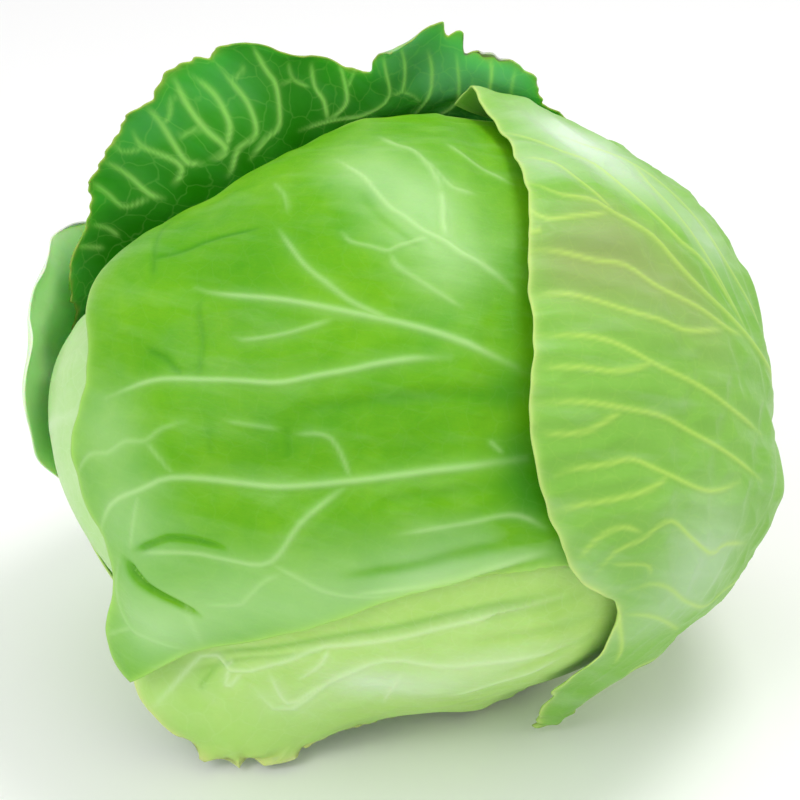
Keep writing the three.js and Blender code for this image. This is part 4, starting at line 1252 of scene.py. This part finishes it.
# The back leaf: the large dark wrapper leaf behind the head. Its flared rim stands off at the
# top left, so that its deep green inner face shows, with pale ribs that fork towards the rim.
BACK_VEINS = (
    (((104, 248), (92, 247), (78, 247)), (1.0, 0.8), 0.2),
    (((119, 236), (107, 228), (92, 225)), (1.2, 0.8), 0.2),
    (((165, 199), (151, 195), (134, 180), (122, 172), (110, 167)), (1.6, 0.8), 0.3),
    (((151, 198), (125, 207), (110, 195), (99, 188)), (1.2, 0.8), 0.2),
    (((176, 187), (182, 180), (182, 167), (147, 151), (138, 136)), (1.6, 0.8), 0.3),
    (((147, 151), (137, 155), (125, 155), (117, 147)), (1.0, 0.7), 0.2),
    (((206, 165), (199, 166), (188, 164), (165, 128), (149, 109)), (1.6, 0.8), 0.3),
    (((165, 128), (173, 121), (175, 103), (184, 104)), (1.0, 0.7), 0.2),
    (((212, 162), (228, 151), (207, 132), (188, 105), (179, 84)), (2.6, 1.0), 0.5),
    (((207, 132), (193, 137), (180, 141)), (1.0, 0.7), 0.2),
    (((228, 151), (232, 137), (231, 124), (218, 100), (197, 83)), (1.8, 0.9), 0.3),
    (((230, 180), (239, 155), (258, 138), (251, 109), (233, 85), (220, 70)), (2.0, 0.9), 0.4),
    (((233, 85), (244, 76), (245, 69)), (0.9, 0.7), 0.2),
    (((253, 163), (268, 143), (281, 128), (278, 90), (267, 73), (253, 48)), (2.6, 1.0), 0.5),
    (((329, 125), (325, 105), (316, 91), (314, 71)), (2.0, 0.9), 0.4),
    (((311, 92), (295, 84), (291, 69)), (1.1, 0.7), 0.2),
    (((295, 84), (281, 89)), (0.9, 0.7), 0.2),
    (((329, 125), (344, 112), (348, 99), (341, 71)), (1.8, 0.9), 0.3),
    (((349, 94), (358, 74)), (1.0, 0.7), 0.2),
    (((301, 135), (329, 125), (355, 120), (378, 110), (390, 96), (385, 70), (384, 57)), (2.0, 0.9), 0.4),
    (((391, 95), (402, 92), (405, 69), (400, 45)), (1.6, 0.8), 0.3),
    (((402, 92), (412, 96), (421, 104)), (1.0, 0.7), 0.2),
    (((407, 124), (428, 99), (432, 73), (428, 51)), (1.8, 0.9), 0.3),
    (((420, 128), (453, 110), (459, 89), (456, 57)), (1.8, 0.9), 0.3),
    (((472, 112), (474, 83)), (1.4, 0.8), 0.3),
    (((488, 110), (491, 80), (488, 64)), (2.6, 1.2), 0.5),
    (((510, 110), (513, 77)), (1.4, 0.8), 0.3),
)
back_inner_veins = Veins(back_leaf, core=0.8, glow=0.08, narrowing=0.6)
for pixels, widths, height in BACK_VEINS:
    back_inner_veins.add_seen(pixels, widths, height, far_side=True)
back_veins = Veins(back_leaf)
back_veins.grow(seed=25, pairs=9, midrib_width=7.0, side_width=3.2, midrib_height=2.4, side_height=0.9)
back_material = leaf_material(
    "dark_leaf_blade", fresh="50AC34", deep="2E8C26", pale="84CC9C", shade="268800",
    vein="C4EE8C", rim="9CA050", net=0.12, let_through=0.55)
# Spots of painted shade and sheen, with some of the leaf's own tone: painted shade in the hollow under the
# flared rim, where the blade curves back in to the head; the paler outer face of the rim where it folds
# over at the right, with a painted bluish sheen on it in the pale colour; and two faint paler patches on
# the left.
BACK_PAINTED_SHADE_SHEEN_AND_TONES = (
    (110, 262, 6, -0.9), (150, 232, 6, -1.0), (200, 192, 6, -1.0), (250, 165, 5, -1.0), (300, 142, 5, -1.0),
    (350, 126, 5, -0.9), (410, 116, 4, -0.8), (470, 108, 4, -0.7), (440, 80, 7, 0.6), (505, 85, 7, 0.7),
    (400, 48, 6, 0.8), (150, 130, 7, 0.3), (230, 90, 6, 0.2),
)
build_leaf(back_leaf, "back_leaf_blade", back_veins, back_material,
           seed=17, columns=270, rows=176, dense_across=(0.0, 0.85), dense_along=(0.6, 1.0), density=2.2,
           ragged=(0.5, 0.4), teeth=0.5, blister=0.8, sway=1.0, sway_length=50.0, curl=2.0,
           tones=tones_seen(back_leaf, BACK_PAINTED_SHADE_SHEEN_AND_TONES, far_side=True), rim_tint_width=0.7,
           inner_veins=back_inner_veins, inner_step=1)

# The left leaf: the outermost wrapper leaf, round the back to the left of the head.
# Its bluish rim is all that shows from the front.
left_veins = Veins(left_leaf)
left_veins.grow(seed=27, pairs=8, midrib_width=6.5, side_width=3.0, midrib_height=2.2, side_height=0.8)
left_material = leaf_material(
    "left_leaf_blade", fresh="D0F0B8", deep="BCE894", pale="E4F6EC", shade="98D860",
    vein="E0F6D4", rim="E0F4D8", net=0.08, let_through=0.7)
build_leaf(left_leaf, "left_leaf_blade", left_veins, left_material,
           seed=18, columns=160, rows=220, ragged=(0.4, 0.3), blister=0.7, sway=0.8, curl=1.2,
           rim_tint_width=2.0)
